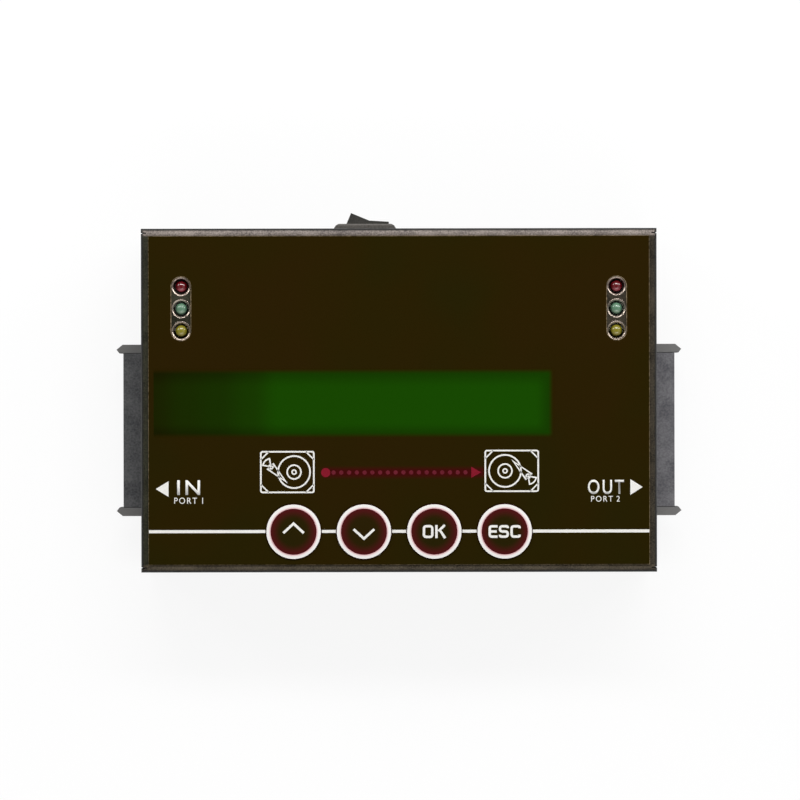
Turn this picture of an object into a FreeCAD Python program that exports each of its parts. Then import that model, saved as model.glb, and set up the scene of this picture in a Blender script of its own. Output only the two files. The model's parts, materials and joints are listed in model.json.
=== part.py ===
import FreeCAD, Part
import math
import os
import re
import Sketcher
from FreeCAD import Placement, Rotation, Vector

# A stand-alone drive duplicator: a folded steel case that lies flat on a desk, with a
# printed control panel on top, a drive port on each side and a power switch at the back.
# +X points to the target port, +Y to the power switch and +Z out of the control panel.
# The origin is the middle of the whole footprint, on the desk. Millimetres throughout.

doc = FreeCAD.newDocument("DriveDuplicator")

# ---------------------------------------------------------------- driving dimensions
SIZES = {
    # case
    "case_width": 126.0,
    "case_depth": 84.0,
    "cover_height": 26.5,
    "sheet_thick": 1.0,
    "bend_radius": 1.4,
    "seam_gap": 0.3,
    "case_play": 0.25,
    "foot_height": 2.0,
    "foot_diameter": 9.0,
    "foot_inset": 14.0,
    "base_wall": 5.0,
    "base_side_wall": 1.4,
    "base_corner_relief": 3.0,
    "vent_length": 22.0,
    "vent_width": 2.2,
    "vent_pitch": 6.0,
    # control panel
    "panel_margin": 2.0,
    "panel_thick": 0.5,
    "window_left_margin": 1.0,
    "window_right_margin": 1.35,
    "window_band": 0.7,
    "window_y": -0.7,
    "window_play": 0.05,
    # keys
    "key_diameter": 13.4,
    "key_pitch": 17.15,
    "key_row_inset": 10.0,
    "key_play": 0.15,
    "key_cover_play": 0.3,
    "key_proud": 0.6,
    "key_flange": 1.0,
    "key_flange_thick": 0.8,
    "key_travel": 0.5,
    "key_stop_gap": 0.1,
    "tact_side": 6.0,
    "tact_height": 3.5,
    "plunger_side": 3.0,
    "plunger_play": 0.1,
    "plunger_proud": 1.8,
    "plunger_seat": 0.8,
    "plunger_room": 0.3,
    # lamps
    "lamp_side_inset": 9.9,
    "lamp_back_inset": 19.6,
    "lamp_pitch": 5.4,
    "lamp_diameter": 3.0,
    "lamp_body": 4.7,
    "lamp_bevel": 0.6,
    "lamp_proud": 0.3,
    "lamp_hole": 4.4,
    "lamp_slot_width": 5.0,
    "lead_side": 0.5,
    "lead_pitch": 1.27,
    "lead_play": 0.15,
    "lead_end": 1.2,
    "spacer_width": 4.0,
    "spacer_bore": 2.2,
    # display module
    "lcd_x": 4.6,
    "lcd_view_length": 64.5,
    "lcd_view_height": 16.0,
    "lcd_opening_edge": 0.8,
    "lcd_bezel_end": 3.35,
    "lcd_bezel_band": 4.6,
    "lcd_bezel_height": 8.0,
    "lcd_bezel_sheet": 0.4,
    "lcd_gap": 0.1,
    "lcd_glass_thick": 2.2,
    "lcd_board_end": 4.4,
    "lcd_board_band": 5.4,
    "lcd_hole_inset": 2.5,
    "lcd_pin_row_x": -10.5,
    "lcd_pin_edge": 1.9,
    # boards
    "board_thick": 1.6,
    "board_side_gap": 5.5,
    "board_back_gap": 2.5,
    "board_notch": 8.0,
    "board_post_height": 3.0,
    "board_post_side_inset": 13.0,
    "board_post_back_inset": 6.0,
    "keypad_board_end": 17.3,
    "keypad_board_width": 13.0,
    "keypad_post_inset": 4.5,
    "pin_side": 0.64,
    "pin_pitch": 2.54,
    "pin_strip": 2.5,
    "pin_stub": 1.0,
    "socket_height": 5.0,
    # posts and screws
    "case_post_side_inset": 6.5,
    "case_post_back_inset": 6.0,
    "case_post_flats": 5.5,
    "post_flats": 4.5,
    "shank_flats": 2.4,
    "shank_play": 0.1,
    "rivet_flats": 4.0,
    "rivet_thick": 0.8,
    "screw_thread": 2.9,
    "screw_hole": 3.3,
    "screw_flats": 5.0,
    "screw_head_thick": 1.3,
    "screw_length": 5.0,
    "bore_play": 0.05,
    # drive ports
    "port_y": -7.4,
    "port_reach": 5.65,
    "port_end_wall": 2.35,
    "port_height": 5.8,
    "port_drop": 0.6,
    "port_board_gap": 0.2,
    "port_foot": 2.0,
    "port_foot_width": 3.4,
    "port_foot_thick": 1.8,
    "port_play": 0.4,
    "guide_width": 2.15,
    "guide_reach": 1.7,
    "guide_taper": 1.5,
    "guide_nose": 0.9,
    "guide_lead": 0.7,
    "slot_lead_in": 0.3,
    "tongue_slot": 1.45,
    "tongue_depth": 6.2,
    "signal_tongue": 10.6,
    "power_tongue": 20.8,
    "tongue_wall": 2.3,
    "key_leg": 1.15,
    "key_leg_width": 1.2,
    "contact_pitch": 1.27,
    "contact_width": 0.6,
    "contact_thick": 0.3,
    "contact_bump": 0.3,
    "contact_tail": 2.2,
    "contact_play": 0.05,
    "contact_set_back": 0.9,
    "contact_ramp": 0.6,
    "contact_crest": 0.6,
    "contact_slope": 1.2,
    "peg_side": 1.2,
    "peg_length": 1.3,
    # power switch
    "rocker_x": -8.3,
    "rocker_flange": 1.5,
    "rocker_lip": 1.0,
    "rocker_shoulder": 0.4,
    "rocker_wall": 0.7,
    "rocker_body_depth": 12.0,
    "rocker_panel_play": 0.1,
    "rocker_opening": 12.7,
    "rocker_well": 7.2,
    "rocker_under": 3.2,
    "rocker_play": 0.1,
    "rocker_end_room": 1.05,
    "rocker_lean": 0.52,
    "rocker_tip_height": 1.8,
    "rocker_dip": 0.8,
    "rocker_pivot_depth": 3.6,
    "rocker_skirt": 1.4,
    "rocker_keel": 3.0,
    "rocker_cheek": 1.15,
    "rocker_tilt": 13.0,
    "trunnion_diameter": 2.0,
    "trunnion_play": 0.05,
    "trunnion_length": 0.6,
    "snap_reach": 0.55,
    "snap_width": 4.0,
    "snap_length": 3.2,
    "blade_x": 3.6,
    "blade_width": 4.8,
    "blade_thick": 0.8,
    "blade_length": 6.0,
    "blade_seat": 2.5,
    "wire_diameter": 1.5,
    "wire_inset": 1.2,
    # power jack
    "jack_x": 14.0,
    "jack_width": 9.0,
    "jack_length": 13.8,
    "jack_crown": 0.1,
    "jack_axis": 6.4,
    "jack_bore": 6.4,
    "jack_bore_depth": 9.5,
    "jack_pin": 2.0,
    "jack_pin_back": 1.2,
    "jack_wall_gap": 0.3,
    "jack_face_length": 3.4,
    "jack_step": 0.4,
    "jack_pin_seat": 2.0,
    "jack_neck": 1.4,
    "jack_neck_gap": 0.3,
    "jack_leg_width": 2.2,
    "jack_leg_thick": 0.8,
    "jack_leg_inset": 0.6,
    "jack_hole_margin": 1.0,
    # electronics
    "chip_side": 20.0,
    "chip_thick": 1.6,
    "chip_x": 0.0,
    "chip_y": -6.0,
    "sink_height": 6.0,
    "sink_floor": 1.5,
    "fin_thick": 1.0,
    "memory_length": 14.0,
    "memory_width": 8.0,
    "memory_thick": 1.1,
    "memory_x": 22.0,
    "memory_y": -6.0,
    "memory_pitch": 12.0,
    "coil_side": 7.0,
    "coil_height": 3.5,
    "coil_corner": 1.5,
    "coil_side_inset": 30.0,
    "coil_back_inset": 16.0,
    "coil_pitch": 10.0,
    "can_diameter": 6.3,
    "can_height": 7.2,
    "can_base": 0.9,
    "can_base_play": 0.15,
    "can_side_inset": 24.0,
    "can_back_inset": 15.0,
    "can_pitch": 8.5,
    "buzzer_diameter": 12.0,
    "buzzer_height": 8.0,
    "buzzer_side_inset": 11.0,
    "buzzer_y": -19.0,
    "crystal_length": 10.8,
    "crystal_width": 4.4,
    "crystal_height": 3.4,
    "crystal_x": -18.0,
    "crystal_y": -16.0,
}

KEYS = ("up", "down", "ok", "esc")
LAMPS = ("red", "green", "yellow")
LCD_PIN_COUNT = 16
KEYPAD_PIN_COUNT = 6
SIGNAL_CONTACT_COUNT = 7
POWER_CONTACT_COUNT = 15
VENT_COUNT = 6
FIN_COUNT = 6
LAMP_SIDES = 16

sizes = doc.addObject("Spreadsheet::Sheet", "Sizes")
for row, (alias, value) in enumerate(SIZES.items(), start=1):
    sizes.set(f"A{row}", alias.replace("_", " "))
    sizes.set(f"B{row}", str(value))
    sizes.setAlias(f"B{row}", alias)
doc.recompute()

# ------------------------------------------------------------- derived places, as text
# Each is an expression in the names above, so a changed size moves what depends on it.
case_half_x = "(case_width / 2)"
case_half_y = "(case_depth / 2)"
base_half_x = f"({case_half_x} - sheet_thick - case_play)"
base_half_y = f"({case_half_y} - sheet_thick - case_play)"
case_post_x = f"({case_half_x} - case_post_side_inset)"
case_post_y = f"({case_half_y} - case_post_back_inset)"

face_top = "(foot_height + cover_height)"
face_under = f"({face_top} - sheet_thick)"
panel_top = f"({face_top} + panel_thick)"
base_top = "(foot_height + sheet_thick)"
case_post_height = f"({face_under} - {base_top})"
board_bottom = f"({base_top} + board_post_height)"
board_top = f"({board_bottom} + board_thick)"
board_edge_x = f"({case_half_x} - board_side_gap)"
board_edge_y = f"({case_half_y} - board_back_gap)"
board_post_x = f"({board_edge_x} - board_post_side_inset)"
board_post_y = f"({board_edge_y} - board_post_back_inset)"

key_row_y = f"(key_row_inset - {case_half_y})"
keypad_board_length = f"({len(KEYS) - 1} * key_pitch + 2 * keypad_board_end)"
keypad_post_x = f"({keypad_board_length} / 2 - keypad_post_inset)"
keypad_pin_offset = "(keypad_board_width / 2 - pin_pitch / 2)"
keypad_pin_y = f"({key_row_y} + {keypad_pin_offset})"
pin_hole = "(pin_side + 2 * bore_play)"
flange_top = f"({face_under} - key_stop_gap)"
key_bottom = f"({flange_top} - key_flange_thick)"
tact_top = f"({key_bottom} - plunger_proud)"
keypad_top = f"({tact_top} - tact_height)"
keypad_bottom = f"({keypad_top} - board_thick)"
keypad_post_height = f"({face_under} - {keypad_top})"

bezel_top = f"({face_under} - lcd_gap)"
lcd_board_top = f"({bezel_top} - lcd_bezel_height)"
lcd_board_bottom = f"({lcd_board_top} - board_thick)"
lcd_post_height = f"({face_under} - {lcd_board_top})"
lcd_y = "window_y"
window_left = f"(panel_margin + window_left_margin - {case_half_x})"
window_right = "(lcd_x + lcd_view_length / 2 + window_right_margin)"
window_length = f"({window_right} - {window_left})"
window_x = f"(({window_right} + {window_left}) / 2)"
window_height = "(lcd_view_height + 2 * window_band)"
lcd_bezel_length = "(lcd_view_length + 2 * lcd_bezel_end)"
lcd_bezel_width = "(lcd_view_height + 2 * lcd_bezel_band)"
lcd_board_length = f"({lcd_bezel_length} + 2 * lcd_board_end)"
lcd_board_width = f"({lcd_bezel_width} + 2 * lcd_board_band)"
lcd_hole_x = f"({lcd_board_length} / 2 - lcd_hole_inset)"
lcd_hole_y = f"({lcd_board_width} / 2 - lcd_hole_inset)"
lcd_pin_y = f"({lcd_y} + {lcd_board_width} / 2 - lcd_pin_edge)"
lcd_pins_x = "(lcd_x + lcd_pin_row_x)"

lamp_x = f"({case_half_x} - lamp_side_inset)"
lamp_y = f"({case_half_y} - lamp_back_inset)"
lamp_top = f"({face_top} + lamp_proud)"
lamp_foot = f"({lamp_top} - lamp_body)"

port_bottom = f"({board_bottom} - port_drop)"
port_face = f"({case_half_x} + port_reach)"
port_depth = f"({port_face} - {board_edge_x} - port_board_gap)"
slot_floor = f"({board_top} - {port_bottom} + contact_thick)"
tongue_span = "(signal_tongue + tongue_wall + power_tongue)"
port_length = f"({tongue_span} + 2 * port_end_wall)"
port_half = f"({port_length} / 2 + guide_width)"
port_start = f"({board_edge_x} + port_board_gap)"
peg_x = f"({board_edge_x} - port_foot / 2)"
peg_y = f"({port_length} / 2 - peg_side)"
TONGUES = (
    (f"(-{tongue_span} / 2 + signal_tongue / 2)", "signal_tongue", SIGNAL_CONTACT_COUNT),
    (f"({tongue_span} / 2 - power_tongue / 2)", "power_tongue", POWER_CONTACT_COUNT),
)

wall_mid = "(foot_height + cover_height / 2)"
rocker_body_length = "(rocker_opening + 2 * rocker_wall)"
rocker_body_width = "(rocker_well + 2 * rocker_wall)"
rocker_base_reach = "(rocker_opening / 2 - rocker_end_room)"
rocker_tip_reach = f"({rocker_base_reach} - rocker_lean)"
pivot_y = f"({case_half_y} + rocker_flange - rocker_pivot_depth)"
rocker_rise = (
    f"({rocker_tip_reach} * sin(rocker_tilt)"
    " + (rocker_pivot_depth + rocker_tip_height) * cos(rocker_tilt) - rocker_pivot_depth)"
)

jack_height = "(jack_axis + jack_width / 2 + jack_crown)"
jack_front = f"({case_half_y} - sheet_thick - jack_wall_gap)"
jack_legs = (
    f"({jack_front} - jack_length + jack_leg_inset)",
    f"({jack_front} - jack_length / 2)",
)

# The raised end of the rocker is the rearmost point, so the case's own middle lies this
# far in front of the middle of the whole footprint.
case_shift = f"(-(rocker_flange + {rocker_rise}) / 2)"

NAME = re.compile(r"[a-z_]+")


def sized(text):
    """The text as a FreeCAD expression, with each size's name read from the sheet."""
    return NAME.sub(lambda m: f"Sizes.{m.group()}" if m.group() in SIZES else m.group(), text)


def bind(thing, prop, text):
    thing.setExpression(prop, sized(text))


def worth(text):
    """The value of an expression in the names above."""
    return float(sizes.evalExpression(sized(text)))


def place(thing, x="0", y="0", z="0", turn=None):
    """Places a piece in the case, whose own middle is at x 0, y 0 and the desk at z 0."""
    if turn:
        thing.Placement = Placement(Vector(0, 0, 0), turn)
    bind(thing, "Placement.Base.x", x)
    bind(thing, "Placement.Base.y", f"{y} + {case_shift}")
    bind(thing, "Placement.Base.z", z)
    return thing


finished = []


def finish(thing, x="0", y="0", z="0", turn=None):
    """Places a sub-part and puts it on the list of those that are kept."""
    finished.append(place(thing, x, y, z, turn))


# ------------------------------------------------------------------------ modelling kit
def new_body(label):
    body = doc.addObject("PartDesign::Body", label)
    body.Label = label
    return body


def new_sketch(body, plane, name, offset="0"):
    """A sketch on an origin plane of its body, moved along the plane's normal."""
    sketch = body.newObject("Sketcher::SketchObject", name)
    origin = next(f for f in body.Origin.OriginFeatures if f.Role == plane)
    sketch.AttachmentSupport = [(origin, "")]
    sketch.MapMode = "FlatFace"
    bind(sketch, "AttachmentOffset.Base.z", offset)
    return sketch


def hold(sketch, kind, text, *where):
    """Adds one dimension to a sketch and binds it to the sheet."""
    index = sketch.addConstraint(Sketcher.Constraint(kind, *where, worth(text)))
    bind(sketch, f"Constraints[{index}]", text)


def pin_point(sketch, shape, point, x, y):
    """Fixes a point of the sketch at x, y from the origin."""
    if x == "0":
        sketch.addConstraint(Sketcher.Constraint("PointOnObject", shape, point, -2))
    else:
        hold(sketch, "DistanceX", x, -1, 1, shape, point)
    if y == "0":
        sketch.addConstraint(Sketcher.Constraint("PointOnObject", shape, point, -1))
    else:
        hold(sketch, "DistanceY", y, -1, 1, shape, point)


def draw_polygon(sketch, points, closed=True):
    """Straight edges through the points, each given as a pair of expressions."""
    start = sketch.GeometryCount
    count = len(points)
    edges = count if closed else count - 1
    corners = [Vector(worth(x), worth(y), 0) for x, y in points]
    for n in range(edges):
        sketch.addGeometry(Part.LineSegment(corners[n], corners[(n + 1) % count]), False)
    for n, (x, y) in enumerate(points[:edges]):
        pin_point(sketch, start + n, 1, x, y)
        if n + 1 < edges or closed:
            after = start + (n + 1) % edges
            sketch.addConstraint(Sketcher.Constraint("Coincident", start + n, 2, after, 1))
    if not closed:
        pin_point(sketch, start + edges - 1, 2, *points[-1])
    return start


def draw_rectangle(sketch, x, y, length, width):
    """A rectangle by its middle and its two sides."""
    west, east = f"{x} - ({length}) / 2", f"{x} + ({length}) / 2"
    south, north = f"{y} - ({width}) / 2", f"{y} + ({width}) / 2"
    draw_polygon(sketch, [(west, south), (east, south), (east, north), (west, north)])


def draw_circle(sketch, x, y, diameter):
    middle = Vector(worth(x), worth(y), 0)
    number = sketch.addGeometry(Part.Circle(middle, UP, worth(diameter) / 2), False)
    pin_point(sketch, number, 3, x, y)
    hold(sketch, "Diameter", diameter, number)


def draw_hexagon(sketch, x, y, flats):
    """A hexagon by its middle and the distance between two flat sides, with corners along X."""
    reach, rise = f"{flats} / (2 * cos(30))", f"{flats} / 2"
    spots = [(reach, "0"), (f"{reach} / 2", rise), (f"-{reach} / 2", rise)]
    spots += [(f"-{reach}", "0"), (f"-{reach} / 2", f"-{rise}"), (f"{reach} / 2", f"-{rise}")]
    draw_polygon(sketch, [(f"{x} + {dx}", f"{y} + {dy}") for dx, dy in spots])


def draw_spandrel(sketch, half, top, radius, side):
    """What a bend leaves off a square corner at plus or minus half, top."""
    way = -1 if side else 1
    x, y, r = way * worth(half), worth(top), worth(radius)
    middle = Vector(x - way * r, y - r, 0)
    turn = (0, math.pi / 2) if way > 0 else (math.pi / 2, math.pi)
    arc = sketch.addGeometry(Part.ArcOfCircle(Part.Circle(middle, UP, r), *turn), False)
    corner, upper, lower = Vector(x, y, 0), Vector(x - way * r, y, 0), Vector(x, y - r, 0)
    along = sketch.addGeometry(Part.LineSegment(upper, corner), False)
    down = sketch.addGeometry(Part.LineSegment(corner, lower), False)
    upper_end, lower_end = (2, 1) if way > 0 else (1, 2)
    sketch.addConstraint(Sketcher.Constraint("Coincident", along, 2, down, 1))
    sketch.addConstraint(Sketcher.Constraint("Tangent", arc, upper_end, along, 1))
    sketch.addConstraint(Sketcher.Constraint("Tangent", arc, lower_end, down, 2))
    pin_point(sketch, down, 1, f"{side}{half}", top)
    hold(sketch, "Radius", radius, arc)


def draw_stadium(sketch, x, y, length, width):
    """A round-ended slot along the sketch's Y axis, by its middle, length and width."""
    high, low = f"{y} + ({length} - {width}) / 2", f"{y} - ({length} - {width}) / 2"
    radius = worth(width) / 2
    upper, lower = Vector(worth(x), worth(high), 0), Vector(worth(x), worth(low), 0)
    out = Vector(radius, 0, 0)
    first = sketch.GeometryCount
    second, west, east = first + 1, first + 2, first + 3
    sketch.addGeometry(Part.ArcOfCircle(Part.Circle(upper, UP, radius), 0, math.pi), False)
    sketch.addGeometry(Part.ArcOfCircle(Part.Circle(lower, UP, radius), math.pi, 2 * math.pi), False)
    sketch.addGeometry(Part.LineSegment(upper - out, lower - out), False)
    sketch.addGeometry(Part.LineSegment(lower + out, upper + out), False)
    for a, a_end, b, b_end in (
        (first, 2, west, 1),
        (west, 2, second, 1),
        (second, 2, east, 1),
        (east, 2, first, 1),
    ):
        sketch.addConstraint(Sketcher.Constraint("Tangent", a, a_end, b, b_end))
    pin_point(sketch, first, 3, x, high)
    pin_point(sketch, second, 3, x, low)
    hold(sketch, "Radius", f"{width} / 2", first)


def pad(body, sketch, length, name, down=False, middle=False):
    feature = body.newObject("PartDesign::Pad", name)
    feature.Profile = sketch
    feature.Reversed = down
    if middle:
        feature.Midplane = True
    bind(feature, "Length", length)
    doc.recompute()
    return feature


def pocket(body, sketch, length, name, up=False, middle=False):
    """Cuts a sketch out of its body, against the sketch's normal unless up is set."""
    before = body.Shape.Volume
    feature = body.newObject("PartDesign::Pocket", name)
    feature.Profile = sketch
    feature.Reversed = up
    if middle:
        feature.Midplane = True
    bind(feature, "Length", length)
    doc.recompute()
    if not feature.Shape.Volume < before:
        raise RuntimeError(f"{name} cuts nothing from {body.Label}")
    return feature


def revolve(body, sketch, name):
    feature = body.newObject("PartDesign::Revolution", name)
    feature.Profile = sketch
    feature.ReferenceAxis = (sketch, ["V_Axis"])
    feature.Angle = 360.0
    doc.recompute()
    return feature


def row_of(body, feature, name, count, pitch, axis):
    """A straight pattern of a feature along one of its own sketch's axes."""
    pattern = body.newObject("PartDesign::LinearPattern", name)
    pattern.Originals = [feature]
    pattern.Direction = (feature.Profile[0], [axis])
    pattern.Mode = "Spacing"
    pattern.Occurrences = count
    bind(pattern, "Offset", pitch)
    body.Tip = pattern
    doc.recompute()
    return pattern


def edges_where(feature, test):
    """Names of the feature's edges whose bounding box passes the test."""
    found = enumerate(feature.Shape.Edges, start=1)
    return [f"Edge{n}" for n, edge in found if test(edge.BoundBox)]


def round_edges(body, feature, test, radius, name):
    fillet = body.newObject("PartDesign::Fillet", name)
    fillet.Base = (feature, edges_where(feature, test))
    bind(fillet, "Radius", radius)
    doc.recompute()
    return fillet


def bevel_edges(body, feature, test, size, name):
    chamfer = body.newObject("PartDesign::Chamfer", name)
    chamfer.Base = (feature, edges_where(feature, test))
    bind(chamfer, "Size", size)
    doc.recompute()
    return chamfer


def block(label, x, y, z, length, width, height):
    """A plain box by the middle of its plan, its underside and its three sides."""
    box = doc.addObject("Part::Box", label)
    box.Label = label
    bind(box, "Length", length)
    bind(box, "Width", width)
    bind(box, "Height", height)
    finish(box, f"{x} - ({length}) / 2", f"{y} - ({width}) / 2", z)


def copies(label, master, spots):
    """One sub-part made of the same piece at several places, each (x, y, z, turn)."""
    links = []
    for n, (x, y, z, turn) in enumerate(spots, start=1):
        link = doc.addObject("App::Link", f"{label}_{n}")
        link.LinkedObject = master
        links.append(place(link, x, y, z, turn))
    group = doc.addObject("Part::Compound", label)
    group.Label = label
    group.Links = links
    finished.append(group)


UP = Vector(0, 0, 1)
HALF_TURN = Rotation(UP, 180)
UPSIDE_DOWN = Rotation(Vector(1, 0, 0), 180)
NEAR = 0.01


def corners(x, y, z="0", turn=None):
    """The four places at plus and minus x and y."""
    return [(sx + x, sy + y, z, turn) for sx in ("", "-") for sy in ("", "-")]


key_x = [f"({n} - {len(KEYS) - 1} / 2) * key_pitch" for n in range(len(KEYS))]
lamp_row = [f"{lamp_y} + {1 - n} * lamp_pitch" for n in range(len(LAMPS))]


# ---------------------------------------------------------------------------- the case
def make_top_cover():
    """The face and four walls, folded from one sheet, open underneath."""
    body = new_body("top_cover")
    outline = new_sketch(body, "XY_Plane", "cover_outline", "foot_height")
    draw_rectangle(outline, "0", "0", "case_width", "case_depth")
    pad(body, outline, "cover_height", "cover_block")

    # Each pair of bends is cut right through, so that they meet in a mitre at the corners.
    for plane, half in (("XZ_Plane", case_half_x), ("YZ_Plane", case_half_y)):
        bends = new_sketch(body, plane, f"cover_bends_{plane[:2].lower()}")
        for side in ("", "-"):
            draw_spandrel(bends, half, face_top, "bend_radius", side)
        pocket(body, bends, "2 * case_width", f"cover_bends_{plane[:2].lower()}_cut", middle=True)

    inside = new_sketch(body, "XY_Plane", "cover_inside", "foot_height")
    draw_rectangle(inside, "0", "0", "case_width - 2 * sheet_thick", "case_depth - 2 * sheet_thick")
    pocket(body, inside, "cover_height - sheet_thick", "cover_hollow", up=True)

    # The side walls stop short of the end walls, and the gap runs out through the bend.
    seams = new_sketch(body, "XY_Plane", "cover_seams", face_top)
    for sx in ("", "-"):
        for sy in ("", "-"):
            x = f"{sx}({case_half_x} - bend_radius / 2)"
            y = f"{sy}({case_half_y} - sheet_thick - seam_gap / 2)"
            draw_rectangle(seams, x, y, "bend_radius", "seam_gap")
    pocket(body, seams, "cover_height", "cover_seam_gaps")

    openings = new_sketch(body, "XY_Plane", "cover_openings", face_top)
    edge = "2 * lcd_opening_edge"
    draw_rectangle(openings, "lcd_x", lcd_y, f"lcd_view_length + {edge}", f"lcd_view_height + {edge}")
    for x in key_x:
        draw_circle(openings, x, key_row_y, "key_diameter + 2 * key_cover_play")
    pocket(body, openings, "2 * sheet_thick", "cover_face_openings")

    lamps = new_sketch(body, "XY_Plane", "cover_lamps", face_top)
    for x in (lamp_x, f"-{lamp_x}"):
        for y in lamp_row:
            draw_circle(lamps, x, y, "lamp_hole")
    pocket(body, lamps, "2 * sheet_thick", "cover_lamp_holes")

    # Open downwards, so that the cover drops over the ports.
    ports = new_sketch(body, "YZ_Plane", "cover_ports")
    high = f"({port_bottom} + port_height + port_play - foot_height)"
    draw_rectangle(
        ports, "port_y", f"foot_height + {high} / 2", f"2 * {port_half} + 2 * port_play", high
    )
    pocket(body, ports, "2 * case_width", "cover_port_notches", middle=True)

    back = new_sketch(body, "XZ_Plane", "cover_back", f"-({case_half_y})")
    draw_rectangle(
        back,
        "rocker_x",
        wall_mid,
        f"{rocker_body_length} + 2 * rocker_panel_play",
        f"{rocker_body_width} + 2 * rocker_panel_play",
    )
    draw_circle(back, "jack_x", f"{board_top} + jack_axis", "jack_bore + 2 * jack_hole_margin")
    # The sketch faces forwards, out of the wall, so the cut runs with its normal.
    pocket(body, back, "2 * sheet_thick", "cover_back_openings", up=True)
    finish(body)


def make_base_plate():
    """The pan that closes the case, with its vents and screw holes."""
    body = new_body("base_plate")
    outline = new_sketch(body, "XY_Plane", "base_outline", "foot_height")
    draw_rectangle(outline, "0", "0", f"2 * {base_half_x}", f"2 * {base_half_y}")
    solid = pad(body, outline, "base_wall", "base_block")
    low = solid.Shape.BoundBox.ZMin

    def long_bend(b):
        return b.ZMax < low + NEAR and b.YLength < NEAR

    round_edges(body, solid, long_bend, "bend_radius", "base_bends")

    inside = new_sketch(body, "XY_Plane", "base_inside", base_top)
    length, width = f"2 * ({base_half_x} - sheet_thick)", f"2 * ({base_half_y} - sheet_thick)"
    draw_rectangle(inside, "0", "0", length, width)
    pocket(body, inside, "base_wall", "base_hollow", up=True)

    relief = new_sketch(body, "XY_Plane", "base_relief", base_top)
    for x, y, _, _ in corners(base_half_x, base_half_y):
        draw_rectangle(relief, x, y, "2 * base_corner_relief", "2 * base_corner_relief")
    pocket(body, relief, "base_wall", "base_corner_reliefs", up=True)

    sides = new_sketch(body, "YZ_Plane", "base_sides")
    draw_rectangle(
        sides,
        "0",
        f"{base_top} + base_side_wall + base_wall / 2",
        f"2 * {board_edge_y} - 2 * sheet_thick",
        "base_wall",
    )
    pocket(body, sides, "2 * case_width", "base_low_sides", middle=True)

    holes = new_sketch(body, "XY_Plane", "base_holes", base_top)
    for x, y, _, _ in corners(case_post_x, case_post_y):
        draw_circle(holes, x, y, "screw_hole")
    pocket(body, holes, "2 * sheet_thick", "base_screw_holes")

    vent = new_sketch(body, "XY_Plane", "base_vent", base_top)
    first = f"-({VENT_COUNT - 1} / 2) * vent_pitch"
    draw_rectangle(vent, first, "0", "vent_width", "vent_length")
    slot = pocket(body, vent, "2 * sheet_thick", "base_first_vent")
    row_of(body, slot, "base_vents", VENT_COUNT, "vent_pitch", "H_Axis")
    finish(body)


def make_feet():
    """Four rubber feet."""
    foot = doc.addObject("Part::Cylinder", "foot_master")
    bind(foot, "Radius", "foot_diameter / 2")
    bind(foot, "Height", "foot_height")
    x, y = f"({case_half_x} - foot_inset)", f"({case_half_y} - foot_inset)"
    copies("rubber_feet", foot, corners(x, y))


# ----------------------------------------------------------------------- control panel
def make_panel_overlay():
    """The printed sheet on the face, cut out for the keys, the lamps and the window."""
    body = new_body("panel_overlay")
    outline = new_sketch(body, "XY_Plane", "overlay_outline", face_top)
    draw_rectangle(
        outline, "0", "0", "case_width - 2 * panel_margin", "case_depth - 2 * panel_margin"
    )
    pad(body, outline, "panel_thick", "overlay_sheet")

    cuts = new_sketch(body, "XY_Plane", "overlay_cuts", panel_top)
    draw_rectangle(cuts, window_x, "window_y", window_length, window_height)
    for x in key_x:
        draw_circle(cuts, x, key_row_y, "key_diameter + 2 * key_play")
    for x in (lamp_x, f"-{lamp_x}"):
        draw_stadium(cuts, x, lamp_y, "2 * lamp_pitch + lamp_slot_width", "lamp_slot_width")
    pocket(body, cuts, "2 * panel_thick", "overlay_openings")
    finish(body)


def make_display_window():
    play = "2 * window_play"
    block(
        "display_window",
        window_x,
        "window_y",
        face_top,
        f"{window_length} - {play}",
        f"{window_height} - {play}",
        "panel_thick",
    )


def make_keys():
    """A round cap that stands through the panel, with a square flange that keeps it in."""
    for name, x in zip(KEYS, key_x):
        body = new_body(f"key_{name}")
        flange = new_sketch(body, "XY_Plane", f"key_{name}_flange")
        side = "key_diameter + 2 * key_flange"
        draw_rectangle(flange, "0", "0", side, side)
        pad(body, flange, "key_flange_thick", f"key_{name}_flange_pad")
        cap = new_sketch(body, "XY_Plane", f"key_{name}_cap")
        draw_circle(cap, "0", "0", "key_diameter")
        pad(body, cap, f"{panel_top} - {key_bottom} + key_proud", f"key_{name}_cap_pad")
        finish(body, x, key_row_y, key_bottom)


def make_key_switches():
    """Four tactile switches on the keypad board, with their moving square plungers."""
    master = new_body("tact_master")
    plan = new_sketch(master, "XY_Plane", "tact_plan")
    draw_rectangle(plan, "0", "0", "tact_side", "tact_side")
    pad(master, plan, "tact_height", "tact_block")
    hole = new_sketch(master, "XY_Plane", "tact_hole", "tact_height")
    side = "plunger_side + 2 * plunger_play"
    draw_rectangle(hole, "0", "0", side, side)
    pocket(master, hole, "plunger_seat + key_travel + plunger_room", "tact_well")
    spots = [(x, key_row_y, keypad_top, None) for x in key_x]
    copies("tact_switches", master, spots)

    for name, x in zip(KEYS, key_x):
        block(
            f"plunger_{name}",
            x,
            key_row_y,
            f"{tact_top} - plunger_seat",
            "plunger_side",
            "plunger_side",
            "plunger_proud + plunger_seat",
        )


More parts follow.
